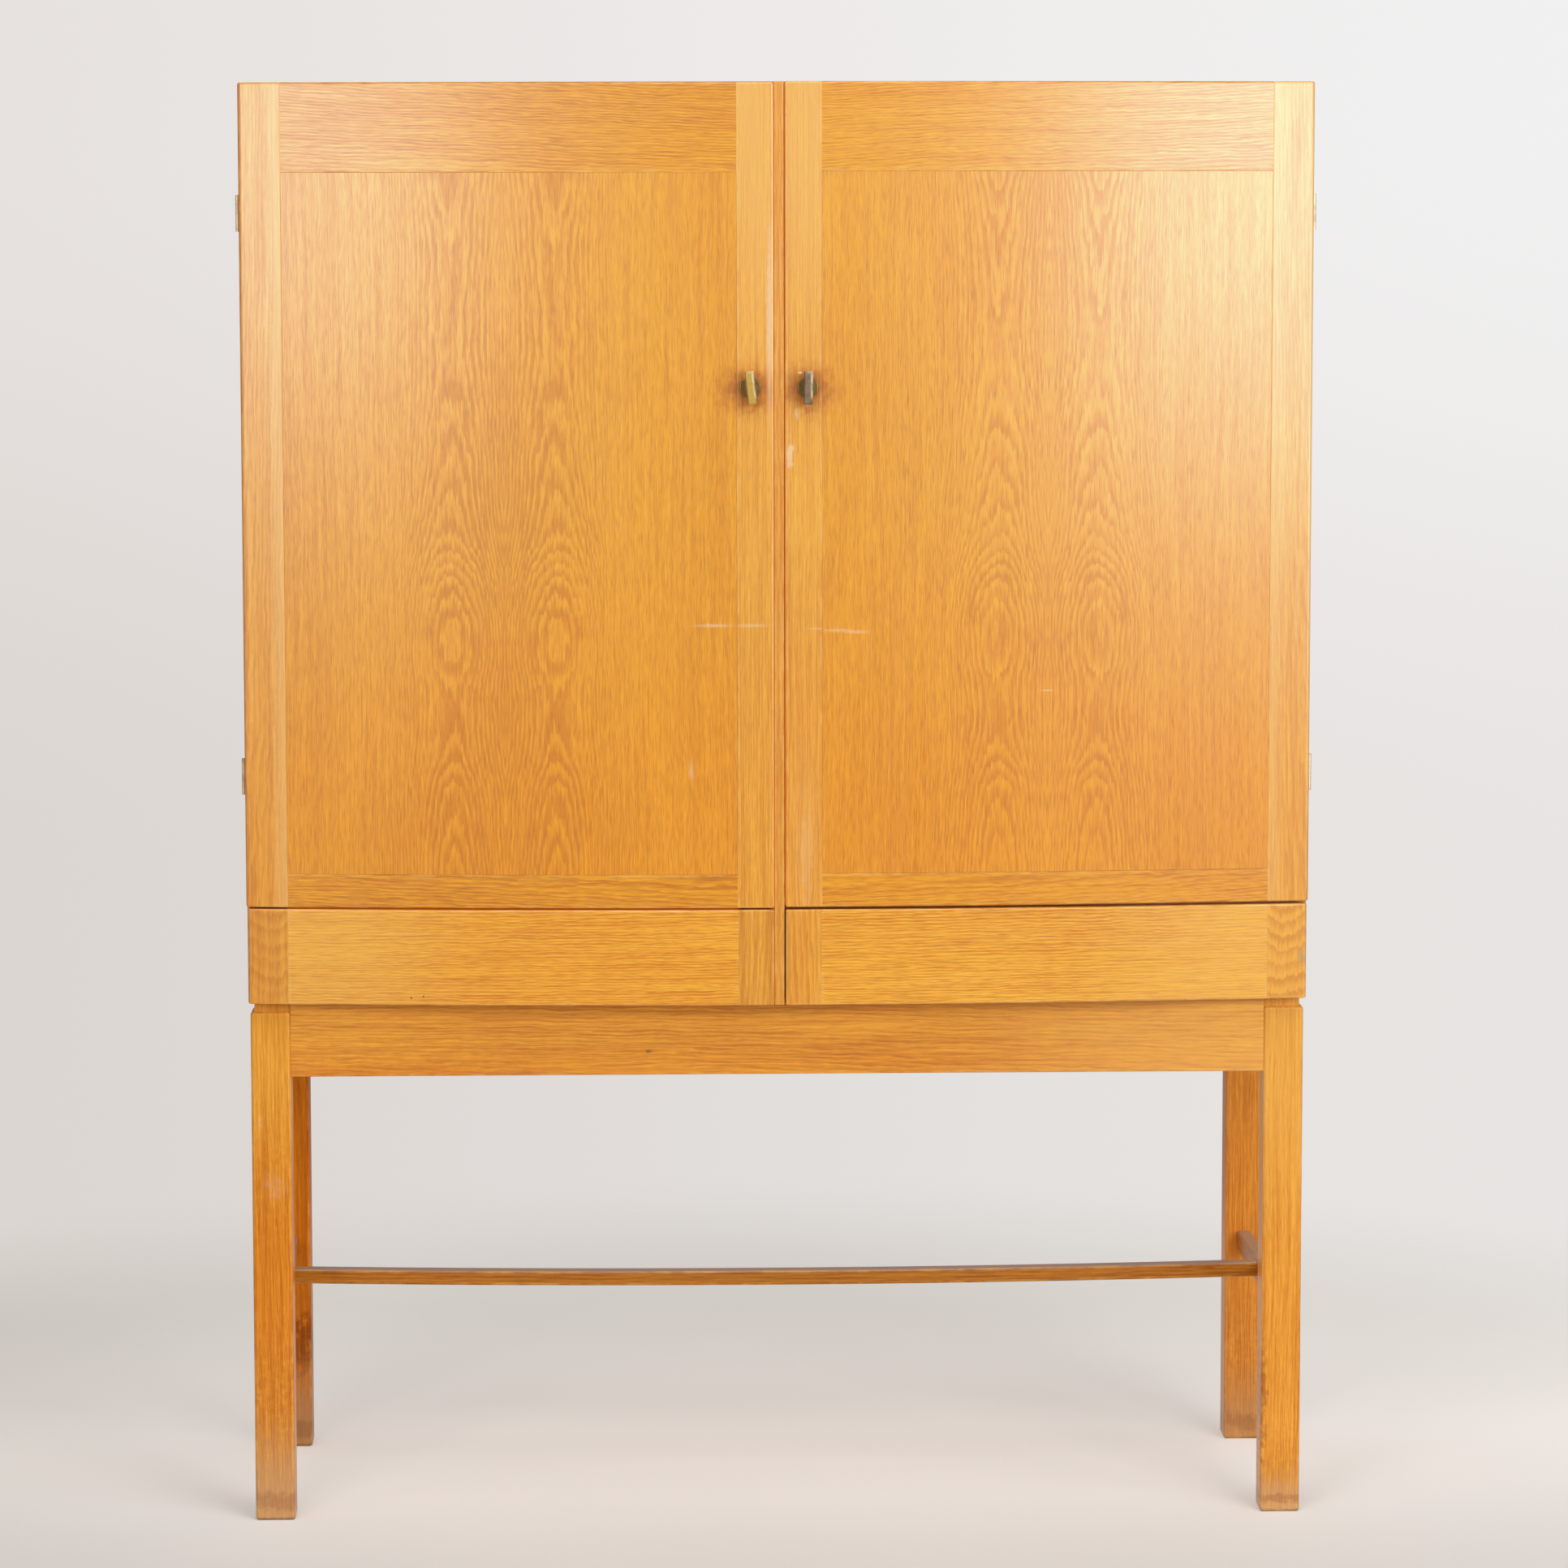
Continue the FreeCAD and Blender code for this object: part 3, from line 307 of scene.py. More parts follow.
def spot_group():
    """A soft ragged mark: one at its centre, nought past its size, with the rim moved about by noise."""
    inputs = {"Point": "Vector", "Centre": "Vector", "Size": "Vector", "Ragged": "Float", "Seed": "Float"}
    tree, t, entry, leave = new_group("soft_mark", inputs, {"Mask": "Float"})
    away = t.vector("DIVIDE", t.vector("SUBTRACT", entry["Point"], entry["Centre"]), entry["Size"])
    uneven = t.own_noise(entry["Point"], entry["Seed"], RIM_NOISE, detail=3.0)
    moved = t.math("MULTIPLY_ADD", t.math("SUBTRACT", uneven, 0.5), entry["Ragged"], t.length(away))
    t.feed(leave["Mask"], t.ramp(moved, 1.0, 0.15))
    return tree


UNBOWED = unbowed_group()
RINGS = rings_group()
OAK = oak_group()
EDGE = edge_group()
SPOT = spot_group()


def new_material(name):
    """A material with its own Principled shader: the material, its words and the shader's inputs."""
    material = bpy.data.materials.new(name)
    material.use_nodes = True
    shader = material.node_tree.nodes["Principled BSDF"]
    return material, Tree(material.node_tree), shader.inputs


def dress(node, material):
    """Gives a node of the frame its finish."""
    nodes[node].data.materials.clear()
    nodes[node].data.materials.append(material)


def corners(node, bowed):
    """Lowest and highest corner of a node, with the bow taken out where it has one."""
    mesh = nodes[node].data
    points = np.empty(len(mesh.vertices) * 3, np.float32)
    mesh.vertices.foreach_get("co", points)
    points = points.reshape(-1, 3).astype(float)
    if bowed:
        points[:, 1] -= points[:, 0] ** 2 / (2 * BOW_RADIUS)
    return points.min(0), points.max(0)


class Oak:
    """One piece of oak: where it lay in its tree, its tone, and the marks on it, of use and of painted light
    and shade.
    """

    count = 0

    def __init__(self, node, along, tones, grain, pith=(0.05, 0.06), lean=0.0, taper=0.0, ring=0.0027,
                 slowing=0.0, wander=0.012, ripple=0.002, bowed=False, gloss=1.0, specular=0.7):
        Oak.count += 1
        self.node = node
        self.seed = SEED_STEP * Oak.count
        self.tones = tones
        self.grain = grain
        self.pith = pith
        self.lean = lean
        self.taper = taper
        self.ring = ring
        self.slowing = slowing
        self.wander = wander
        self.ripple = ripple
        self.gloss = gloss
        self.specular = specular
        self.low, self.high = corners(node, bowed)
        self.middle = (self.low + self.high) / 2
        self.material, self.t, self.inputs = new_material(node + "_oak")
        self.place(along, bowed)

    def place(self, along, bowed):
        """The point on the flattened piece, and the same in the board: across, into and along it."""
        self.point = self.t.own_point()
        if bowed:
            self.point = self.t.group(UNBOWED, Point=self.point)["Point"]
        self.board = self.t.turned(self.point, self.middle, Euler(GRAIN_TURN[along]))

    def solid_rings(self):
        """The pith lies beside the board, leans across it, and nears it where the trunk tapers."""
        t = self.t
        across, into, along = t.split(self.board)
        beside = t.math("MULTIPLY_ADD", along, -self.lean, t.math("SUBTRACT", across, self.pith[0]))
        depth = t.math("MULTIPLY_ADD", along, self.taper, t.math("SUBTRACT", into, self.pith[1]))
        return beside, depth

    def leaf_rings(self, seam, offset, depths):
        """Two leaves of veneer, mirrored at the seam, whose pith is nearer or further along their height."""
        t = self.t
        across, into, along = t.split(self.board)
        mirrored = t.math("ABSOLUTE", t.math("SUBTRACT", across, seam))
        self.board = t.join(mirrored, into, along)
        half = (self.high[2] - self.low[2]) / 2
        curve = t.add("ShaderNodeFloatCurve", {"Value": t.share(along, -half, half)})
        points = curve.mapping.curves[0].points
        deepest = max(depth for place, depth in depths)
        for place, depth in depths[1:-1]:
            points.new(place, depth / deepest)
        points[0].location = (depths[0][0], depths[0][1] / deepest)
        points[len(points) - 1].location = (depths[-1][0], depths[-1][1] / deepest)
        curve.mapping.update()
        depth = t.math("MULTIPLY", curve.outputs[0], deepest)
        return t.math("SUBTRACT", mirrored, offset), depth

    def grow(self, across, depth, **changing):
        """Rings, then colour, gloss and relief, with any part of the grain that changes over the piece."""
        rings = self.t.group(RINGS, Point=self.board, Across=across, Depth=depth, Ring_Width=self.ring,
                             Slowing=self.slowing, Wander=self.wander, Ripple=self.ripple, Seed=self.seed)
        looks = {name.capitalize(): value for name, value in (self.tones | self.grain | changing).items()}
        oak = self.t.group(OAK, Point=rings["Point"], Reach=rings["Reach"], Ring=rings["Ring"],
                           Seed=self.seed, Gloss=self.gloss, **looks)
        self.colour = oak["Color"]
        self.roughness = oak["Roughness"]
        self.coat = oak["Coat Weight"]
        self.height = oak["Height"]

    def mark(self, centre, size, colour, strength, ragged=0.8, blend="MIX"):
        """A mark that covers the grain at a place on the piece: a stain, scuffs, scratches, or painted light.
        """
        t = self.t
        spot = t.group(SPOT, Point=self.point, Centre=centre, Size=size, Ragged=ragged, Seed=self.seed)
        self.colour = t.mix(t.math("MULTIPLY", spot["Mask"], strength), self.colour, colour, blend)

    def tint(self, centre, size, colour, strength, ragged=0.8):
        """A mark that deepens the grain under it."""
        self.mark(centre, size, colour, strength, ragged, "MULTIPLY")

    def painted_gap_glow(self, face, glow):
        """A painted glow that stands in for light bouncing in the narrow gap along the piece's left or top
        face.
        """
        t = self.t
        x, y, z = t.split(self.point)
        if face == "left":
            beside = t.ramp(x, self.low[0] + GAP_EDGE, self.low[0])
        else:
            beside = t.ramp(z, self.high[2] - GAP_EDGE, self.high[2])
        behind = t.ramp(y, self.low[1] + GAP_START, self.low[1] + GAP_FULL)
        inside = t.math("MULTIPLY", beside, behind)
        t.feed(self.inputs["Emission Color"], t.mix(inside, UNLIT, glow))
        self.inputs["Emission Strength"].default_value = 1.0

    def edges(self, joint):
        """Paler wood along the edges, worn and with a painted highlight, and a thin dark line where the piece
        meets the next one.
        """
        t = self.t
        edge = t.group(EDGE, Point=self.point, Low=self.low, High=self.high, Reach=WORN_AND_HIGHLIT_REACH,
                       Seed=self.seed)
        worn_and_highlit = t.math("MULTIPLY", edge["Edge"], WORN_AND_HIGHLIT_STRENGTH)
        # Paler edges: wear, and a painted highlight where the rounded edges catch the light
        self.colour = t.mix(worn_and_highlit, self.colour, WORN_AND_HIGHLIT_OAK)
        self.colour = t.mix(t.math("MULTIPLY", edge["Joint"], joint), self.colour, JOINT_BROWN)
        self.roughness = t.math("MULTIPLY_ADD", worn_and_highlit, 0.2, self.roughness)
        self.roughness = t.math("MULTIPLY_ADD", edge["Joint"], 0.3, self.roughness)
        self.coat = t.math("MULTIPLY", self.coat, t.math("MULTIPLY_ADD", edge["Joint"], -0.9, 1.0))

    def finish(self, joint):
        """The edges, then the shader's colour, gloss and relief, under a coat of lacquer."""
        self.edges(joint)
        t, inputs = self.t, self.inputs
        t.feed(inputs["Base Color"], self.colour)
        t.feed(inputs["Roughness"], self.roughness)
        t.feed(inputs["Coat Weight"], self.coat)
        inputs["Specular IOR Level"].default_value = self.specular
        inputs["Coat IOR"].default_value = COAT_IOR
        inputs["Coat Roughness"].default_value = COAT_ROUGHNESS
        t.bump(inputs, self.height, strength=0.12, depth=0.0003)
        dress(self.node, self.material)


def solid_oak(node, along, tones, grain, **settings):
    """A piece cut from a board of solid oak, with its grain."""
    oak = Oak(node, along, tones, grain, **settings)
    oak.grow(*oak.solid_rings())
    return oak


def level(height):
    """The size of a mark that goes all round, between levels."""
    return ENDLESS, ENDLESS, height


def upright(width):
    """The size of a mark that goes all the way up, between two sides."""
    return width, ENDLESS, ENDLESS


# Doors and drawers

FRONT_Y = -0.2265
DOOR_BOTTOM = 0.71
STILE_Z = 1.2
DRAWER_Z = 0.65
# Painted glow in the narrow gaps at the doors' meeting edges and above the left drawer
GAP_GLOW = (0.47, 0.20, 0.018)
THIN_GAP_GLOW = (0.16, 0.04, 0.001)

# Colours that cover the grain
PALE_SCUFF = (0.90, 0.70, 0.46)
BARE_CHIP = (0.95, 0.85, 0.70)
PALE_STILE = (0.93, 0.53, 0.15)
PALE_BESIDE_PANEL = (0.95, 0.60, 0.21)
WORN_AND_HIGHLIT_MEETING_EDGE = (0.93, 0.68, 0.45)
PAINTED_LIGHT_HINGE_EDGE = (0.98, 0.72, 0.36)
PALE_DRAWER_END = (0.95, 0.53, 0.11)
WORN_LACQUER = (0.80, 0.44, 0.12)
PIN_HOLE = (0.06, 0.03, 0.01)
GREY_DENT = (0.30, 0.24, 0.16)

# Colours that deepen the grain
SMUDGE_AND_SHADE_BROWN = (0.66, 0.44, 0.22)
REDDER_DOOR = (1.0, 0.88, 0.80)
PAINTED_SHADE_HINGE_EDGE = (0.90, 0.72, 0.5)
DEEPER_DRAWER = (1.0, 0.93, 0.86)
REDDER_LEFT_END = (0.90, 0.74, 0.70)
REDDER_RIGHT_END = (0.92, 0.78, 0.7)

# By side: how red the stiles are low down, how pale the outer one is along the panel, the height of the small
# knots, and where the seam of the veneer is from the panel's middle
OUTER_STILE_RED = {"left": 0.9, "right": 0.35}
INNER_STILE_RED = {"left": 0.4, "right": 0.8}
BESIDE_PANEL = {"left": 0.36, "right": 0.2}
KNOT_Z = {"left": 1.021, "right": 1.043}
SEAM = {"left": -0.007, "right": 0.001}

# How far the middle of the figure and the small knots are from the seam
FIGURE_OFFSET = 0.057
KNOT_OFFSET = 0.086

# Depth of the pith behind the veneer, by the share of the panel's height
PANEL_FIGURE = [(0.0, 0.004), (0.12, 0.021), (0.252, 0.036), (0.338, 0.0305), (0.3935, 0.0355),
                (0.506, 0.053), (0.652, 0.061), (0.754, 0.064), (1.0, 0.058)]

# Where the figure is full and where it fades, from its middle
FIGURE_FULL = 0.02
FIGURE_END = 0.075


def front_mark(oak, x, z, width, height, strength, ragged=0.8, colour=PALE_SCUFF):
    """A mark on the front, such as scuffs, scratches, a pin hole or a painted highlight, by its middle and
    its reach to the side and up.
    """
    oak.mark((x, FRONT_Y, z), (width, FACE, height), colour, strength, ragged)


def smudge(oak, x, z, width, height, strength):
    """Brown in the grain of the front, by its middle and its reach to the side and up."""
    oak.tint((x, FRONT_Y, z), (width, FACE, height), SMUDGE_AND_SHADE_BROWN, strength)


def knob_smudge(oak, sign):
    """Brown from hands round a knob, on the stile and the panel beside it, deepest at the knob."""
    smudge(oak, KNOB_X * sign, KNOB_Z - 0.002, width=0.048, height=0.040, strength=0.9)
    smudge(oak, KNOB_X * sign, KNOB_Z - 0.004, width=0.030, height=0.028, strength=0.5)


def redden(oak, strength):
    """Redder wood towards the bottom of the doors."""
    oak.tint((0.0, FRONT_Y, DOOR_BOTTOM), level(0.48), REDDER_DOOR, strength, ragged=0.2)


def door_panel(side, sign):
    """A panel of two mirrored leaves, redder below: arches over an oval, and a small knot beside each oval.
    The bands are strongest and the lines weakest at the middle of the figure."""
    oak = Oak(side + "_door_panel", "Z", DOOR_OAK, PANEL_GRAIN, ring=0.0026, slowing=0.6, wander=0.013,
              ripple=0.003, bowed=True)
    across, depth = oak.leaf_rings(SEAM[side], FIGURE_OFFSET, PANEL_FIGURE)
    beside = oak.t.math("ABSOLUTE", across)
    oak.grow(across, depth, bands=oak.t.ramp(beside, FIGURE_END, FIGURE_FULL, 0.42, 1.05),
             lines=oak.t.ramp(beside, FIGURE_END, FIGURE_FULL, 0.64, 0.46))
    for leaf in (-1, 1):
        knot_x = oak.middle[0] + SEAM[side] + KNOT_OFFSET * leaf
        smudge(oak, knot_x, KNOT_Z[side], width=0.012, height=0.026, strength=0.3)
    redden(oak, 0.9)
    knob_smudge(oak, sign)
    if side == "left":
        front_mark(oak, -0.074, 1.0271, width=0.032, height=0.0030, strength=0.36, ragged=0.4)
        front_mark(oak, -0.099, 0.864, width=0.005, height=0.014, strength=0.26)
    else:
        front_mark(oak, 0.065, 1.0215, width=0.024, height=0.0030, strength=0.28, ragged=0.4)
        front_mark(oak, 0.087, 1.0197, width=0.020, height=0.0030, strength=0.30, ragged=0.4)
        front_mark(oak, 0.301, 0.9525, width=0.012, height=0.0011, strength=0.5, ragged=0.3)
    oak.finish(joint=0.08)


def outer_stile(side, sign):
    """The stile on the hinge side, paler along the panel, with painted shade on the rounded outer edge of the
    left door and painted light on that of the right."""
    oak = solid_oak(side + "_door_outer_stile", "Z", STILE_OAK, STILE_GRAIN, pith=(0.05 * sign, 0.06),
                    lean=0.03 * sign, taper=0.04, ripple=0.004, bowed=True)
    inner, outer = sorted((oak.low[0], oak.high[0]), key=abs)
    redden(oak, OUTER_STILE_RED[side])
    oak.mark((inner, FRONT_Y, STILE_Z), upright(0.022), PALE_BESIDE_PANEL, BESIDE_PANEL[side], ragged=0.4)
    if side == "left":
        # Painted shade on the rounded outer edge of the left door, where it turns away from the light
        oak.tint((outer, FRONT_Y, STILE_Z), upright(0.0075), PAINTED_SHADE_HINGE_EDGE, 0.7, ragged=0.2)
    else:
        # Painted light on the rounded outer edge of the right door, which faces the light on the right
        oak.mark((outer, FRONT_Y, 1.3), (0.005, ENDLESS, 0.7), PAINTED_LIGHT_HINGE_EDGE, 0.6, ragged=0.2)
    oak.finish(joint=0.0)


def inner_stile(side, sign):
    """The stile on the knob side, paler above, brown from hands round the knob and scuffed lower down."""
    oak = solid_oak(side + "_door_inner_stile", "Z", STILE_OAK, STILE_GRAIN, pith=(-0.12 * sign, 0.05),
                    bowed=True)
    redden(oak, INNER_STILE_RED[side])
    front_mark(oak, KNOB_X * sign, 1.56, width=0.06, height=0.30, strength=0.4, ragged=0.3, colour=PALE_STILE)
    knob_smudge(oak, sign)
    if side == "left":
        front_mark(oak, -0.032, 1.0271, width=0.032, height=0.0030, strength=0.26, ragged=0.4)
        # Wear and a painted highlight along the left door's rounded meeting edge
        front_mark(oak, -0.0105, 1.37, width=0.0055, height=0.15, strength=0.5, ragged=0.5,
              colour=WORN_AND_HIGHLIT_MEETING_EDGE)
    else:
        front_mark(oak, 0.0125, 1.2185, width=0.0055, height=0.022, strength=0.5, ragged=2.2)
        front_mark(oak, 0.0196, 1.2638, width=0.004, height=0.009, strength=0.35, ragged=2.0)
        front_mark(oak, 0.0233, 1.309, width=0.0036, height=0.0018, strength=0.9, ragged=0.5, colour=BARE_CHIP)
        front_mark(oak, 0.030, 0.767, width=0.010, height=0.075, strength=0.12, ragged=1.6)
        front_mark(oak, 0.028, 0.80, width=0.022, height=0.15, strength=0.2, colour=WORN_LACQUER)
        front_mark(oak, 0.042, 1.0235, width=0.016, height=0.0024, strength=0.25, ragged=0.3)
        # Painted glow in the gap between the right door and the fillet
        oak.painted_gap_glow("left", GAP_GLOW)
    oak.finish(joint=0.0)


def door_rail(side, sign, rail, pith):
    """A rail between the stiles, with fine rows of grain along it."""
    oak = solid_oak(f"{side}_door_{rail}_rail", "X", RAIL_OAK, RAIL_GRAIN, pith=(pith, 0.028),
                    lean=-0.05 * sign, ring=0.0031, ripple=0.005, bowed=True)
    redden(oak, 0.4)
    oak.finish(joint=0.15)


def drawer_front(side, sign):
    """The long-grain field of a drawer front, paler at its outer end. The left one is deeper towards the
    middle of the cabinet and has two pin holes low down."""
    oak = solid_oak(side + "_drawer_front", "X", DRAWER_OAK, DRAWER_GRAIN, pith=(0.14, 0.05), taper=0.02,
                    ring=0.0031, ripple=0.005, bowed=True)
    oak.mark((0.53 * sign, FRONT_Y, DRAWER_Z), upright(0.22), PALE_DRAWER_END, 0.3, ragged=0.3)
    if side == "left":
        oak.tint((-0.20, FRONT_Y, DRAWER_Z), upright(0.34), DEEPER_DRAWER, 0.9, ragged=0.2)
        front_mark(oak, -0.4146, 0.6068, width=0.0016, height=0.0016, strength=0.9, colour=PIN_HOLE)
        front_mark(oak, -0.4009, 0.6087, width=0.0014, height=0.0018, strength=0.9, colour=PIN_HOLE)
        # Painted glow in the thin gap above the left drawer
        oak.painted_gap_glow("top", THIN_GAP_GLOW)
    oak.finish(joint=0.2)


def drawer_ends(side, sign):
    """The upright end blocks of a drawer front: red and streaky on the left, with painted shade along its
    inner edge, and with a pointed figure and a grey dent in the outer edge on the right."""
    grain = CATHEDRAL_GRAIN if side == "right" else STILE_GRAIN
    oak = solid_oak(side + "_drawer_front_ends", "Z", STILE_OAK, grain, pith=(0.27 * sign, 0.05), taper=0.35,
                    ring=0.006, bowed=True)
    if side == "left":
        oak.tint((-0.585, FRONT_Y, DRAWER_Z), upright(0.045), REDDER_LEFT_END, 0.8, ragged=0.4)
        oak.tint((-0.042, FRONT_Y, DRAWER_Z), upright(0.008), SMUDGE_AND_SHADE_BROWN, 0.45, ragged=0.6)
        # Painted shade along the rounded inner edge of the left drawer, where it turns away from the light
        oak.tint((-0.008, FRONT_Y, DRAWER_Z), upright(0.010), SMUDGE_AND_SHADE_BROWN, 0.45, ragged=0.6)
    else:
        oak.tint((0.020, FRONT_Y, DRAWER_Z), upright(0.035), REDDER_RIGHT_END, 0.7, ragged=0.4)
        oak.mark((0.593, FRONT_Y, 0.647), (0.007, 0.06, 0.012), GREY_DENT, 0.5, ragged=1.2)
    oak.finish(joint=0.2)


for side, sign in SIDES.items():
    door_panel(side, sign)
    outer_stile(side, sign)
    inner_stile(side, sign)
    door_rail(side, sign, "top", pith=-0.085)
    door_rail(side, sign, "bottom", pith=0.030)
    drawer_front(side, sign)
    drawer_ends(side, sign)


# Stand

# How far a mark on one face of the stand reaches into the wood
STAND_FACE = 0.05

# Colours that cover the grain
GRIME = {"front_left": (0.50, 0.31, 0.17), "front_right": (0.56, 0.35, 0.18),
         "back_left": (0.36, 0.24, 0.12), "back_right": (0.44, 0.235, 0.10)}
FLOOR_DIRT = (0.12, 0.08, 0.03)
PALE_LEFT_LEG = (0.97, 0.50, 0.06)
PALE_RIGHT_LEG = (0.96, 0.55, 0.13)
PALE_APRON_END = (0.95, 0.56, 0.15)
DARK_KNOT = (0.10, 0.04, 0.01)
PALE_GREY_TOP = (0.50, 0.38, 0.30)

# Colours that deepen the grain
REDDER_LEG = (0.86, 0.64, 0.30)
GREYED_FOOT = (0.74, 0.66, 0.66)
FOOT_STREAKS = (0.74, 0.68, 0.66)
DARK_FOOT_STREAKS = (0.62, 0.48, 0.38)
DARK_LEG_EDGE = (0.50, 0.36, 0.26)
SCRAPED_LEG = (0.50, 0.40, 0.34)
DEEPER_APRON = (0.93, 0.8, 0.65)
DEEPER_APRON_END = (0.86, 0.70, 0.5)
SHADED_STRETCHER = (0.76, 0.74, 0.74)


def leg(place, tones, pith, redness, grime, specular=0.25):
    """A leg, redder halfway down, greyed and grubby at the foot, with marks of its own."""
    oak = solid_oak(place + "_leg", "Z", tones, LEG_GRAIN, pith=pith, taper=0.03, ripple=0.001, gloss=0.05,
                    specular=specular)
    x, y, z = oak.middle
    oak.tint((x, y, 0.26), level(0.27), REDDER_LEG, redness)
    oak.tint((x, y, 0.0), level(grime * 3.2), GREYED_FOOT, 0.7)
    oak.mark((x, y, 0.0), level(grime * 1.6), GRIME[place], 0.55, ragged=0.7)
    oak.mark((x, y, 0.0), level(0.005), FLOOR_DIRT, 0.7)
    if place != "front_right":
        oak.tint((x, y, 0.022), level(0.016), FOOT_STREAKS, 0.8, ragged=1.6)
    if place == "front_right":
        oak.mark((x, y, 0.62), level(0.40), PALE_RIGHT_LEG, 0.3, ragged=0.3)
        oak.tint((x, y, 0.016), level(0.007), DARK_FOOT_STREAKS, 0.6, ragged=2.4)
        oak.tint((oak.low[0], oak.low[1], 0.13), (0.008, STAND_FACE, 0.09), DARK_LEG_EDGE, 0.7, ragged=2.2)
    if place == "back_left":
        oak.tint((x, y, 0.125), level(0.045), SCRAPED_LEG, 0.8, ragged=1.8)
    if place == "front_left":
        oak.mark((x, y, 0.60), level(0.22), PALE_LEFT_LEG, 0.2, ragged=0.3)
        oak.mark((x + 0.002, y, 0.386), (0.018, STAND_FACE, 0.026), PALE_SCUFF, 0.16, ragged=1.8)
        oak.mark((x - 0.012, y, 0.46), (0.004, STAND_FACE, 0.014), PALE_SCUFF, 0.25, ragged=1.8)
    oak.finish(joint=0.0)


def apron(node, along, pith):
    """An apron, darker and redder towards its lower edge. The front one has a deeper left end, a pale right
    end and a small knot."""
    oak = solid_oak(node, along, STAND_OAK, STAND_GRAIN, pith=pith, taper=0.04, ring=0.004, ripple=0.004,
                    gloss=0.5)
    oak.tint((0.0, 0.0, oak.low[2]), level(0.06), DEEPER_APRON, 0.7, ragged=1.0)
    if node == "front_apron":
        front = oak.low[1]
        oak.tint((-0.45, front, 0.505), (0.28, STAND_FACE, 0.03), DEEPER_APRON_END, 0.7, ragged=0.6)
        oak.mark((0.52, front, 0.55), (0.40, STAND_FACE, ENDLESS), PALE_APRON_END, 0.27, ragged=0.3)
        oak.mark((-0.148, front, 0.539), (0.005, STAND_FACE, 0.003), DARK_KNOT, 0.7, ragged=1.2)
    oak.finish(joint=0.25)


def stretcher(node, along, pith, bowed=False):
    """A stretcher in a darker oak, darker still at the middle of the stand, both painted shade, with a paler
    grey band along its top.
    """
    oak = solid_oak(node, along, STRETCHER_SHADE_OAK, STAND_GRAIN, pith=pith, bowed=bowed, gloss=0.05, specular=0.25)
    # Painted shade: darker towards the middle of the stand, under the cabinet
    oak.tint((0.0, 0.0, oak.low[2]), upright(0.5), SHADED_STRETCHER, 0.8, ragged=0.3)
    # Paler grey along the top of the stretcher
    oak.mark((0.0, 0.0, oak.high[2]), level(0.0025), PALE_GREY_TOP, 0.75, ragged=0.6)
    oak.finish(joint=0.2)


leg("front_left", LEG_OAK, pith=(0.06, 0.05), redness=0.95, grime=0.085)
leg("front_right", LEG_OAK, pith=(-0.07, 0.05), redness=0.25, grime=0.036)
leg("back_left", SHADED_OAK, pith=(0.05, 0.07), redness=0.2, grime=0.090, specular=0.12)
leg("back_right", RED_OAK, pith=(-0.05, 0.06), redness=0.5, grime=0.062)
for place in ("front", "back"):
    apron(place + "_apron", "X", pith=(-0.1, 0.06))
for side in SIDES:
    apron(side + "_apron", "Y", pith=(0.06, 0.1))
    stretcher(side + "_stretcher", "Y", pith=(0.06, 0.05))
stretcher("long_stretcher", "X", pith=(0.05, 0.06), bowed=True)


# Case

def plain_oak(node, along, tones, **settings):
    """A piece of the case or of a drawer's box, with nothing but its grain and pale edges, worn and with a
    painted highlight.
    """
    solid_oak(node, along, tones, STAND_GRAIN, **settings).finish(joint=0.2)


def centre_fillet():
    """The strip between the doors and between the drawers, in a darker oak that paints the shade of its
    recess, with a painted glow in the gap at its left.
    """
    oak = solid_oak("centre_fillet", "Z", SHADED_FILLET_OAK, STILE_GRAIN, pith=(0.07, 0.1))
    # Painted glow in the gap between the left door and the fillet
    oak.painted_gap_glow("left", GAP_GLOW)
    oak.finish(joint=0.0)


for side in SIDES:
    plain_oak(side + "_side", "Z", CASE_OAK, pith=(0.07, 0.1), ring=0.0034)
    plain_oak(side + "_middle_board", "X", CASE_OAK, pith=(0.08, 0.1))
for board in ("top_board", "bottom_board"):
    plain_oak(board, "X", CASE_OAK, pith=(-0.07, 0.08), ring=0.0034)
plain_oak("centre_partition", "Z", CASE_OAK, pith=(0.07, 0.1))
centre_fillet()
plain_oak("shelves", "X", INSIDE_OAK, pith=(-0.07, 0.1))
plain_oak("drawer_runners", "Y", INSIDE_OAK, pith=(0.07, 0.1))
plain_oak("back_panel", "Z", BACK_WOOD, pith=(0.2, 0.09))
for side in SIDES:
    for piece, along in {"sides": "Y", "back": "X", "bottom": "X"}.items():
        plain_oak(side + "_drawer_" + piece, along, INSIDE_OAK, pith=(0.07, 0.08))


# Metal

BAR_HALF = Vector((0.005, 0.0025, 0.0185))
BAR_Y = -0.2440
BAR_TILT = {"left": math.radians(6.5), "right": math.radians(-1.0)}
# Reach and colour of the painted highlight along a knob bar's edges, in worn patches
BAR_HIGHLIGHT_REACH = 0.0032
WORN_AND_HIGHLIT_BRASS = (1.0, 0.88, 0.60)


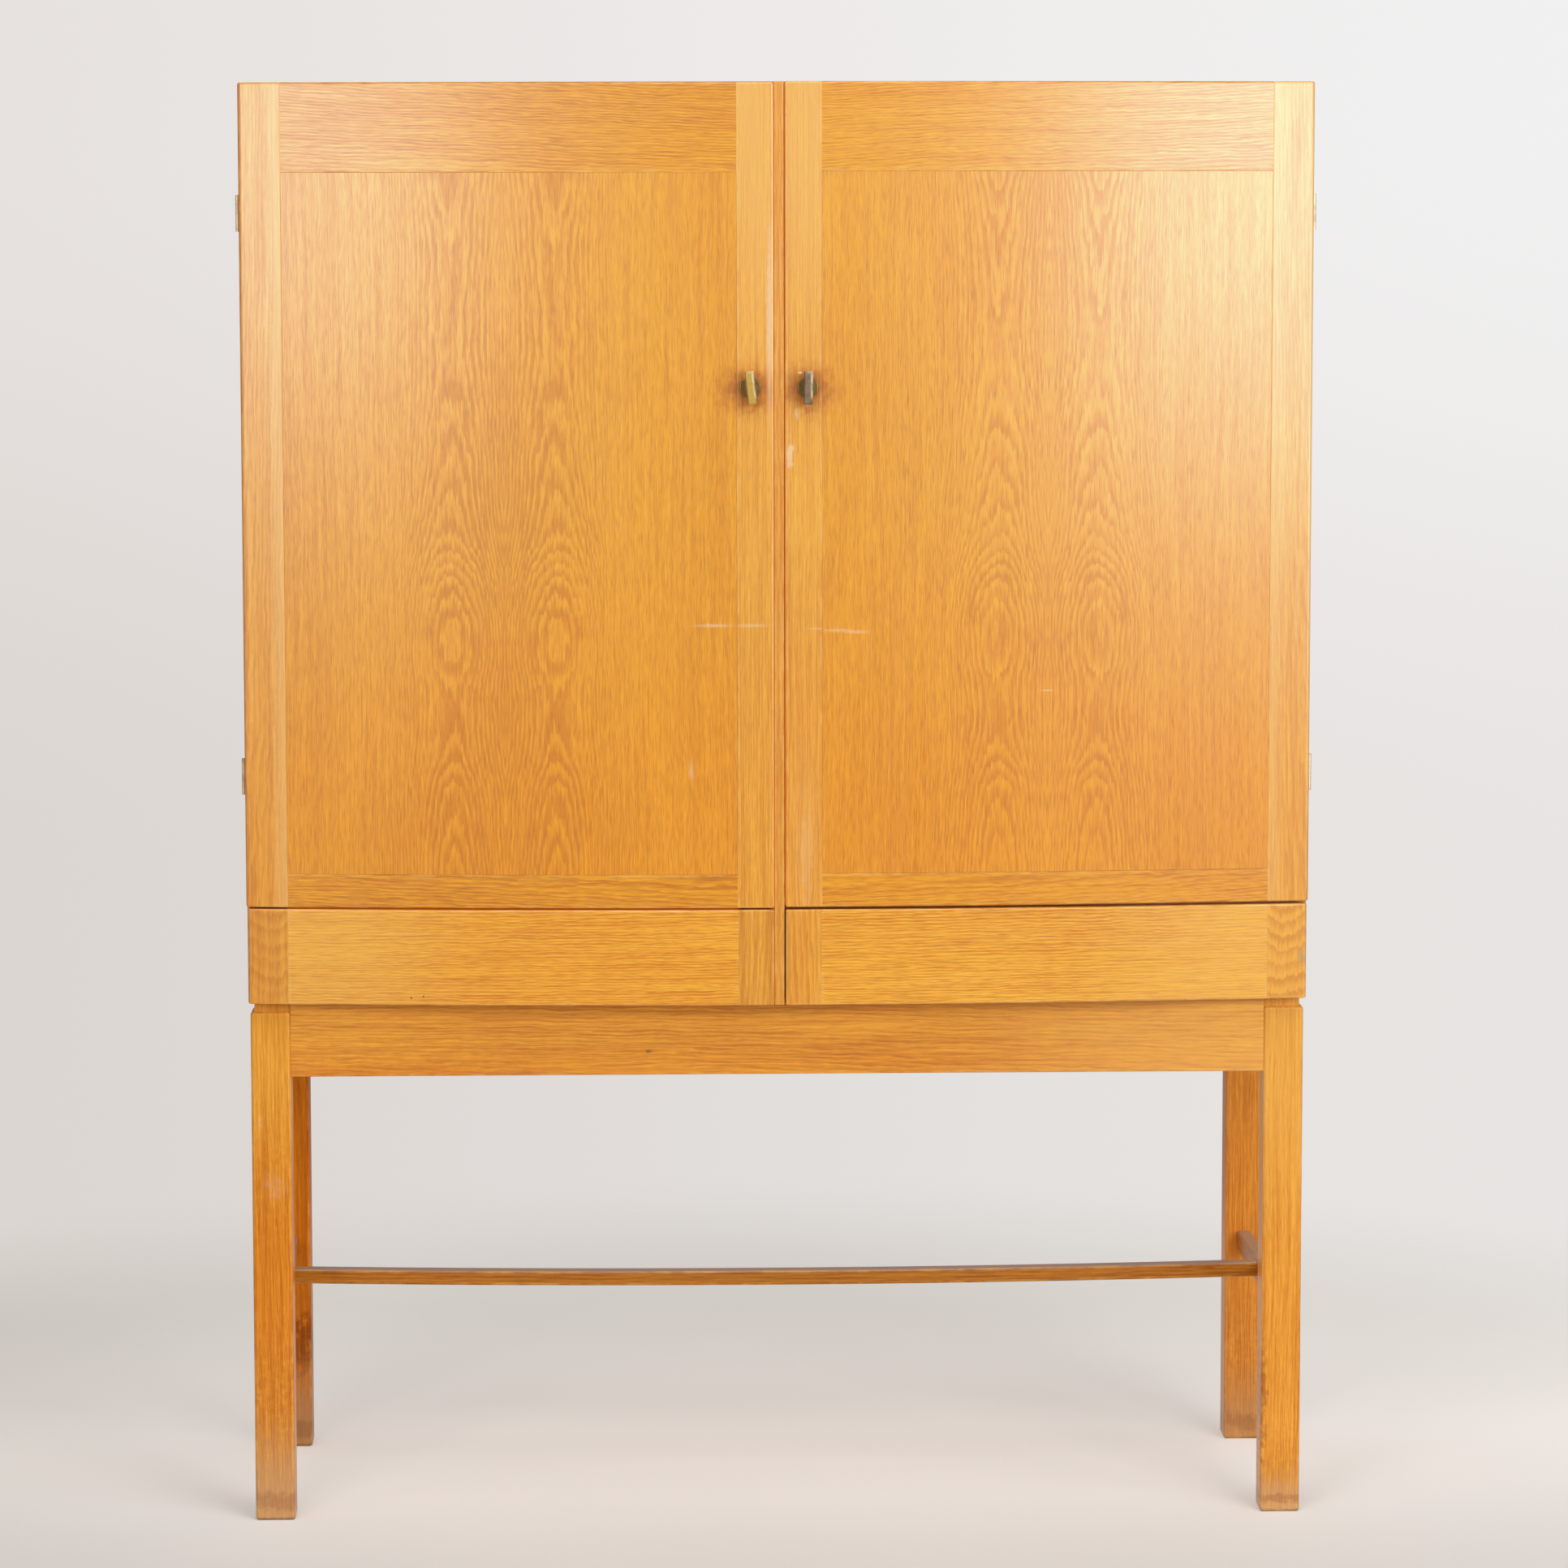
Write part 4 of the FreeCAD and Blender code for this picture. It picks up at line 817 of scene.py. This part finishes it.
def metal(name, bright, dull, roughness, bar=None):
    """Drawn metal: cloudy tarnish over a brighter ground, with fine scratches in its gloss. The bar of a knob
    has a painted highlight along its edges on the side towards the light, broken into worn patches."""
    material, t, inputs = new_material(name)
    point = t.own_point()
    cloud = t.own_noise(point, 3.0, TARNISH_NOISE, detail=4.0, roughness=0.6)
    scratch = t.own_noise(point, 5.0, SCRATCH_NOISE)
    tarnish = t.ramp(cloud, 0.42, 0.68)
    colour = t.mix(tarnish, bright, dull)
    if bar:
        turn = Euler((0.0, BAR_TILT[bar], 0.0))
        local = t.turned(point, (KNOB_X * SIDES[bar], BAR_Y, KNOB_Z), turn)
        edge = t.group(EDGE, Point=local, Low=-BAR_HALF, High=BAR_HALF, Reach=BAR_HIGHLIGHT_REACH, Seed=2.0)
        x, y, z = t.split(local)
        # Painted highlight: only the side of the bar towards the light gets the bright edges
        sunlit = t.ramp(t.math("MULTIPLY_ADD", z, 0.2, x), -0.002, 0.004)
        worn_highlight = t.math("MULTIPLY", t.math("MULTIPLY", edge["Edge"], 2.6, clamp=True), sunlit)
        colour = t.mix(worn_highlight, colour, WORN_AND_HIGHLIT_BRASS)
    t.feed(inputs["Base Color"], colour)
    inputs["Metallic"].default_value = 1.0
    gloss = t.math("MULTIPLY_ADD", tarnish, 0.12, roughness - 0.04)
    t.feed(inputs["Roughness"], t.math("MULTIPLY_ADD", scratch, 0.08, gloss))
    t.bump(inputs, scratch, strength=0.1, depth=0.0001)
    return material


POLISHED_BRASS = metal("polished_brass", (0.68, 0.44, 0.105), (0.53, 0.33, 0.07), roughness=0.40, bar="left")
BROWN_BRASS = metal("brown_brass", (0.34, 0.235, 0.15), (0.22, 0.15, 0.095), roughness=0.38, bar="right")
PALE_BRASS = metal("pale_brass", (0.86, 0.72, 0.50), (0.66, 0.50, 0.30), roughness=0.5)
DARK_BRASS = metal("dark_brass", (0.36, 0.23, 0.075), (0.19, 0.12, 0.042), roughness=0.34)
STEEL = metal("dull_steel", (0.46, 0.45, 0.43), (0.22, 0.19, 0.16), roughness=0.4)
dress("left_knob_bar", POLISHED_BRASS)
dress("right_knob_bar", BROWN_BRASS)
for side in SIDES:
    for piece in ("knob_rosette", "knob_spindle", "latch_tongue"):
        dress(side + "_" + piece, DARK_BRASS)
    for piece in ("door_hinge_leaves", "door_hinge_screws"):
        dress(side + "_" + piece, PALE_BRASS)
for piece in ("hinge_case_leaves", "hinge_pins", "hinge_case_screws"):
    dress(piece, PALE_BRASS)
for piece in ("latch_keepers", "shelf_pins"):
    dress(piece, DARK_BRASS)
dress("back_panel_screws", STEEL)


# Floor, light and camera

FLOOR_TONES = ((0.67, 0.645, 0.615), (0.73, 0.705, 0.675))
FLOOR_GLOW_FRONT = (0.19, 0.20, 0.195)
FLOOR_GLOW_BACK = (0.92, 0.875, 0.83)
FLOOR_SHADE_LEFT = (0.66, 0.64, 0.61)
BACKDROP_LEFT = (0.79, 0.75, 0.73)
BACKDROP_RIGHT = (0.895, 0.885, 0.885)
BACKDROP_LOW = (0.90, 0.885, 0.87)
ROOM_LIGHT = (1.0, 0.985, 0.965)

# Light as it comes in and as it is shown, and the brightest light that the curve takes in
ROLL_OFF = [(0.4, 0.4), (0.85, 0.85), (0.92, 0.897), (1.0, 0.932), (1.13, 0.957), (1.28, 0.978)]
BRIGHTEST = 1.5

# The camera's lens and film in millimetres, its place, and its turns in radians
LENS = 128.07
FILM = 36.0
CAMERA_PLACE = (-0.1944, -6.441, 1.5087)
CAMERA_TURN = (math.pi / 2 - 0.1057, 0.00116, -0.03219)


def floor_paint(full, end):
    """Pale paint, clear past the floor's end, that glows a little where the room lights the floor more."""
    material, t, inputs = new_material("pale_floor")
    point = t.own_point()
    x, y, z = t.split(point)
    cloud = t.own_noise(point, 1.0, FLOOR_NOISE, detail=3.0)
    t.feed(inputs["Base Color"], t.mix(cloud, *FLOOR_TONES))
    t.feed(inputs["Alpha"], t.ramp(t.length(point), full, end, 1.0, 0.0))
    glow = t.mix(t.ramp(y, -0.7, 0.3), FLOOR_GLOW_FRONT, FLOOR_GLOW_BACK)
    glow = t.mix(t.ramp(x, -0.4, -1.3), glow, FLOOR_SHADE_LEFT, "MULTIPLY")
    t.feed(inputs["Emission Color"], glow)
    inputs["Emission Strength"].default_value = 0.40
    inputs["Roughness"].default_value = 0.8
    return material


def soft_floor(full=1.15, end=2.1, rings=48, spokes=96):
    """A flat disc whose edge thins out: radius by angle, on a grid, with a pole at its middle."""
    radius = np.linspace(0.0, end, rings + 1)[1:, None]
    angle = np.linspace(0.0, 2 * np.pi, spokes, endpoint=False)[None, :]
    x, y = radius * np.cos(angle), radius * np.sin(angle)
    points = np.stack([x, y, np.zeros_like(x)], -1).reshape(-1, 3)
    points = np.vstack([points, [[0.0, 0.0, 0.0]]])
    index = np.arange(rings * spokes).reshape(rings, spokes)
    turned = np.roll(index, -1, 1)
    quads = np.stack([index[:-1], index[1:], turned[1:], turned[:-1]], -1).reshape(-1, 4)
    middle = np.full(spokes, rings * spokes)
    fan = np.stack([middle, index[0], turned[0]], -1)
    mesh = bpy.data.meshes.new("floor")
    mesh.from_pydata(points.tolist(), [], quads.tolist() + fan.tolist())
    mesh.materials.append(floor_paint(full, end))
    floor = bpy.data.objects.new("floor", mesh)
    bpy.context.scene.collection.objects.link(floor)


def soft_box(name, place, target, width, height, power):
    """A large soft light that faces a point."""
    data = bpy.data.lights.new(name, "AREA")
    data.shape = "RECTANGLE"
    data.size = width
    data.size_y = height
    data.energy = power
    light = bpy.data.objects.new(name, data)
    light.location = place
    light.rotation_euler = (Vector(target) - Vector(place)).to_track_quat("-Z", "Y").to_euler()
    light.visible_camera = False
    bpy.context.scene.collection.objects.link(light)


def pale_room():
    """Soft light from all round, least from the front, and a pale backdrop where the camera looks past the
    floor, brighter to the right and darker low down."""
    world = bpy.data.worlds.new("pale_room")
    bpy.context.scene.world = world
    world.use_nodes = True
    t = Tree(world.node_tree)
    world.node_tree.nodes.clear()
    x, y, z = t.split(t.add("ShaderNodeTexCoord").outputs["Generated"])
    backdrop = t.mix(t.ramp(x, -0.16, 0.2), BACKDROP_LEFT, BACKDROP_RIGHT)
    backdrop = t.mix(t.ramp(z, 0.01, -0.12), backdrop, BACKDROP_LOW, "MULTIPLY")
    seen = t.add("ShaderNodeBackground", {"Color": backdrop, "Strength": 1.0})
    around = t.ramp(y, -0.8, -0.1, 0.04, 0.32)
    fill = t.add("ShaderNodeBackground", {"Color": ROOM_LIGHT, "Strength": around})
    camera_ray = t.add("ShaderNodeLightPath").outputs["Is Camera Ray"]
    shown = t.add("ShaderNodeMixShader", [camera_ray, fill.outputs[0], seen.outputs[0]])
    t.add("ShaderNodeOutputWorld", [shown.outputs[0]])


def soft_highlights():
    """Highlights that roll off as in the photograph: by light as it comes in, the light that is shown."""
    view = bpy.context.scene.view_settings
    view.view_transform = "Standard"
    view.use_curve_mapping = True
    mapping = view.curve_mapping
    mapping.white_level = (BRIGHTEST, BRIGHTEST, BRIGHTEST)
    curve = mapping.curves[3]
    for light, shown in ROLL_OFF:
        curve.points.new(light / BRIGHTEST, shown)
    for point in curve.points:
        point.handle_type = "VECTOR"
    mapping.update()


def photo_camera():
    """The camera where the photograph was taken, fitted to measured edges of the doors, legs and floor."""
    data = bpy.data.cameras.new("camera")
    data.sensor_width = FILM
    data.lens = LENS
    camera = bpy.data.objects.new("camera", data)
    camera.location = CAMERA_PLACE
    camera.rotation_euler = CAMERA_TURN
    bpy.context.scene.collection.objects.link(camera)
    bpy.context.scene.camera = camera


soft_highlights()
soft_floor()
pale_room()
soft_box("right_soft_box", (2.10, -4.2, 1.85), target=(0.1, -0.2, 1.2), width=1.8, height=1.6, power=70.5)
soft_box("left_soft_box", (-1.75, -4.2, 1.92), target=(-0.1, -0.2, 1.2), width=1.6, height=1.6, power=44.0)
soft_box("overhead_soft_box", (0.3, -2.2, 4.0), target=(0.0, -0.2, 0.9), width=3.0, height=2.5, power=66.5)
soft_box("right_fill", (3.8, -3.2, 1.3), target=(0.0, -0.2, 0.8), width=1.8, height=1.8, power=54.0)
soft_box("left_fill", (-3.8, -3.2, 1.3), target=(0.0, -0.2, 0.8), width=1.8, height=1.8, power=22.0)
photo_camera()
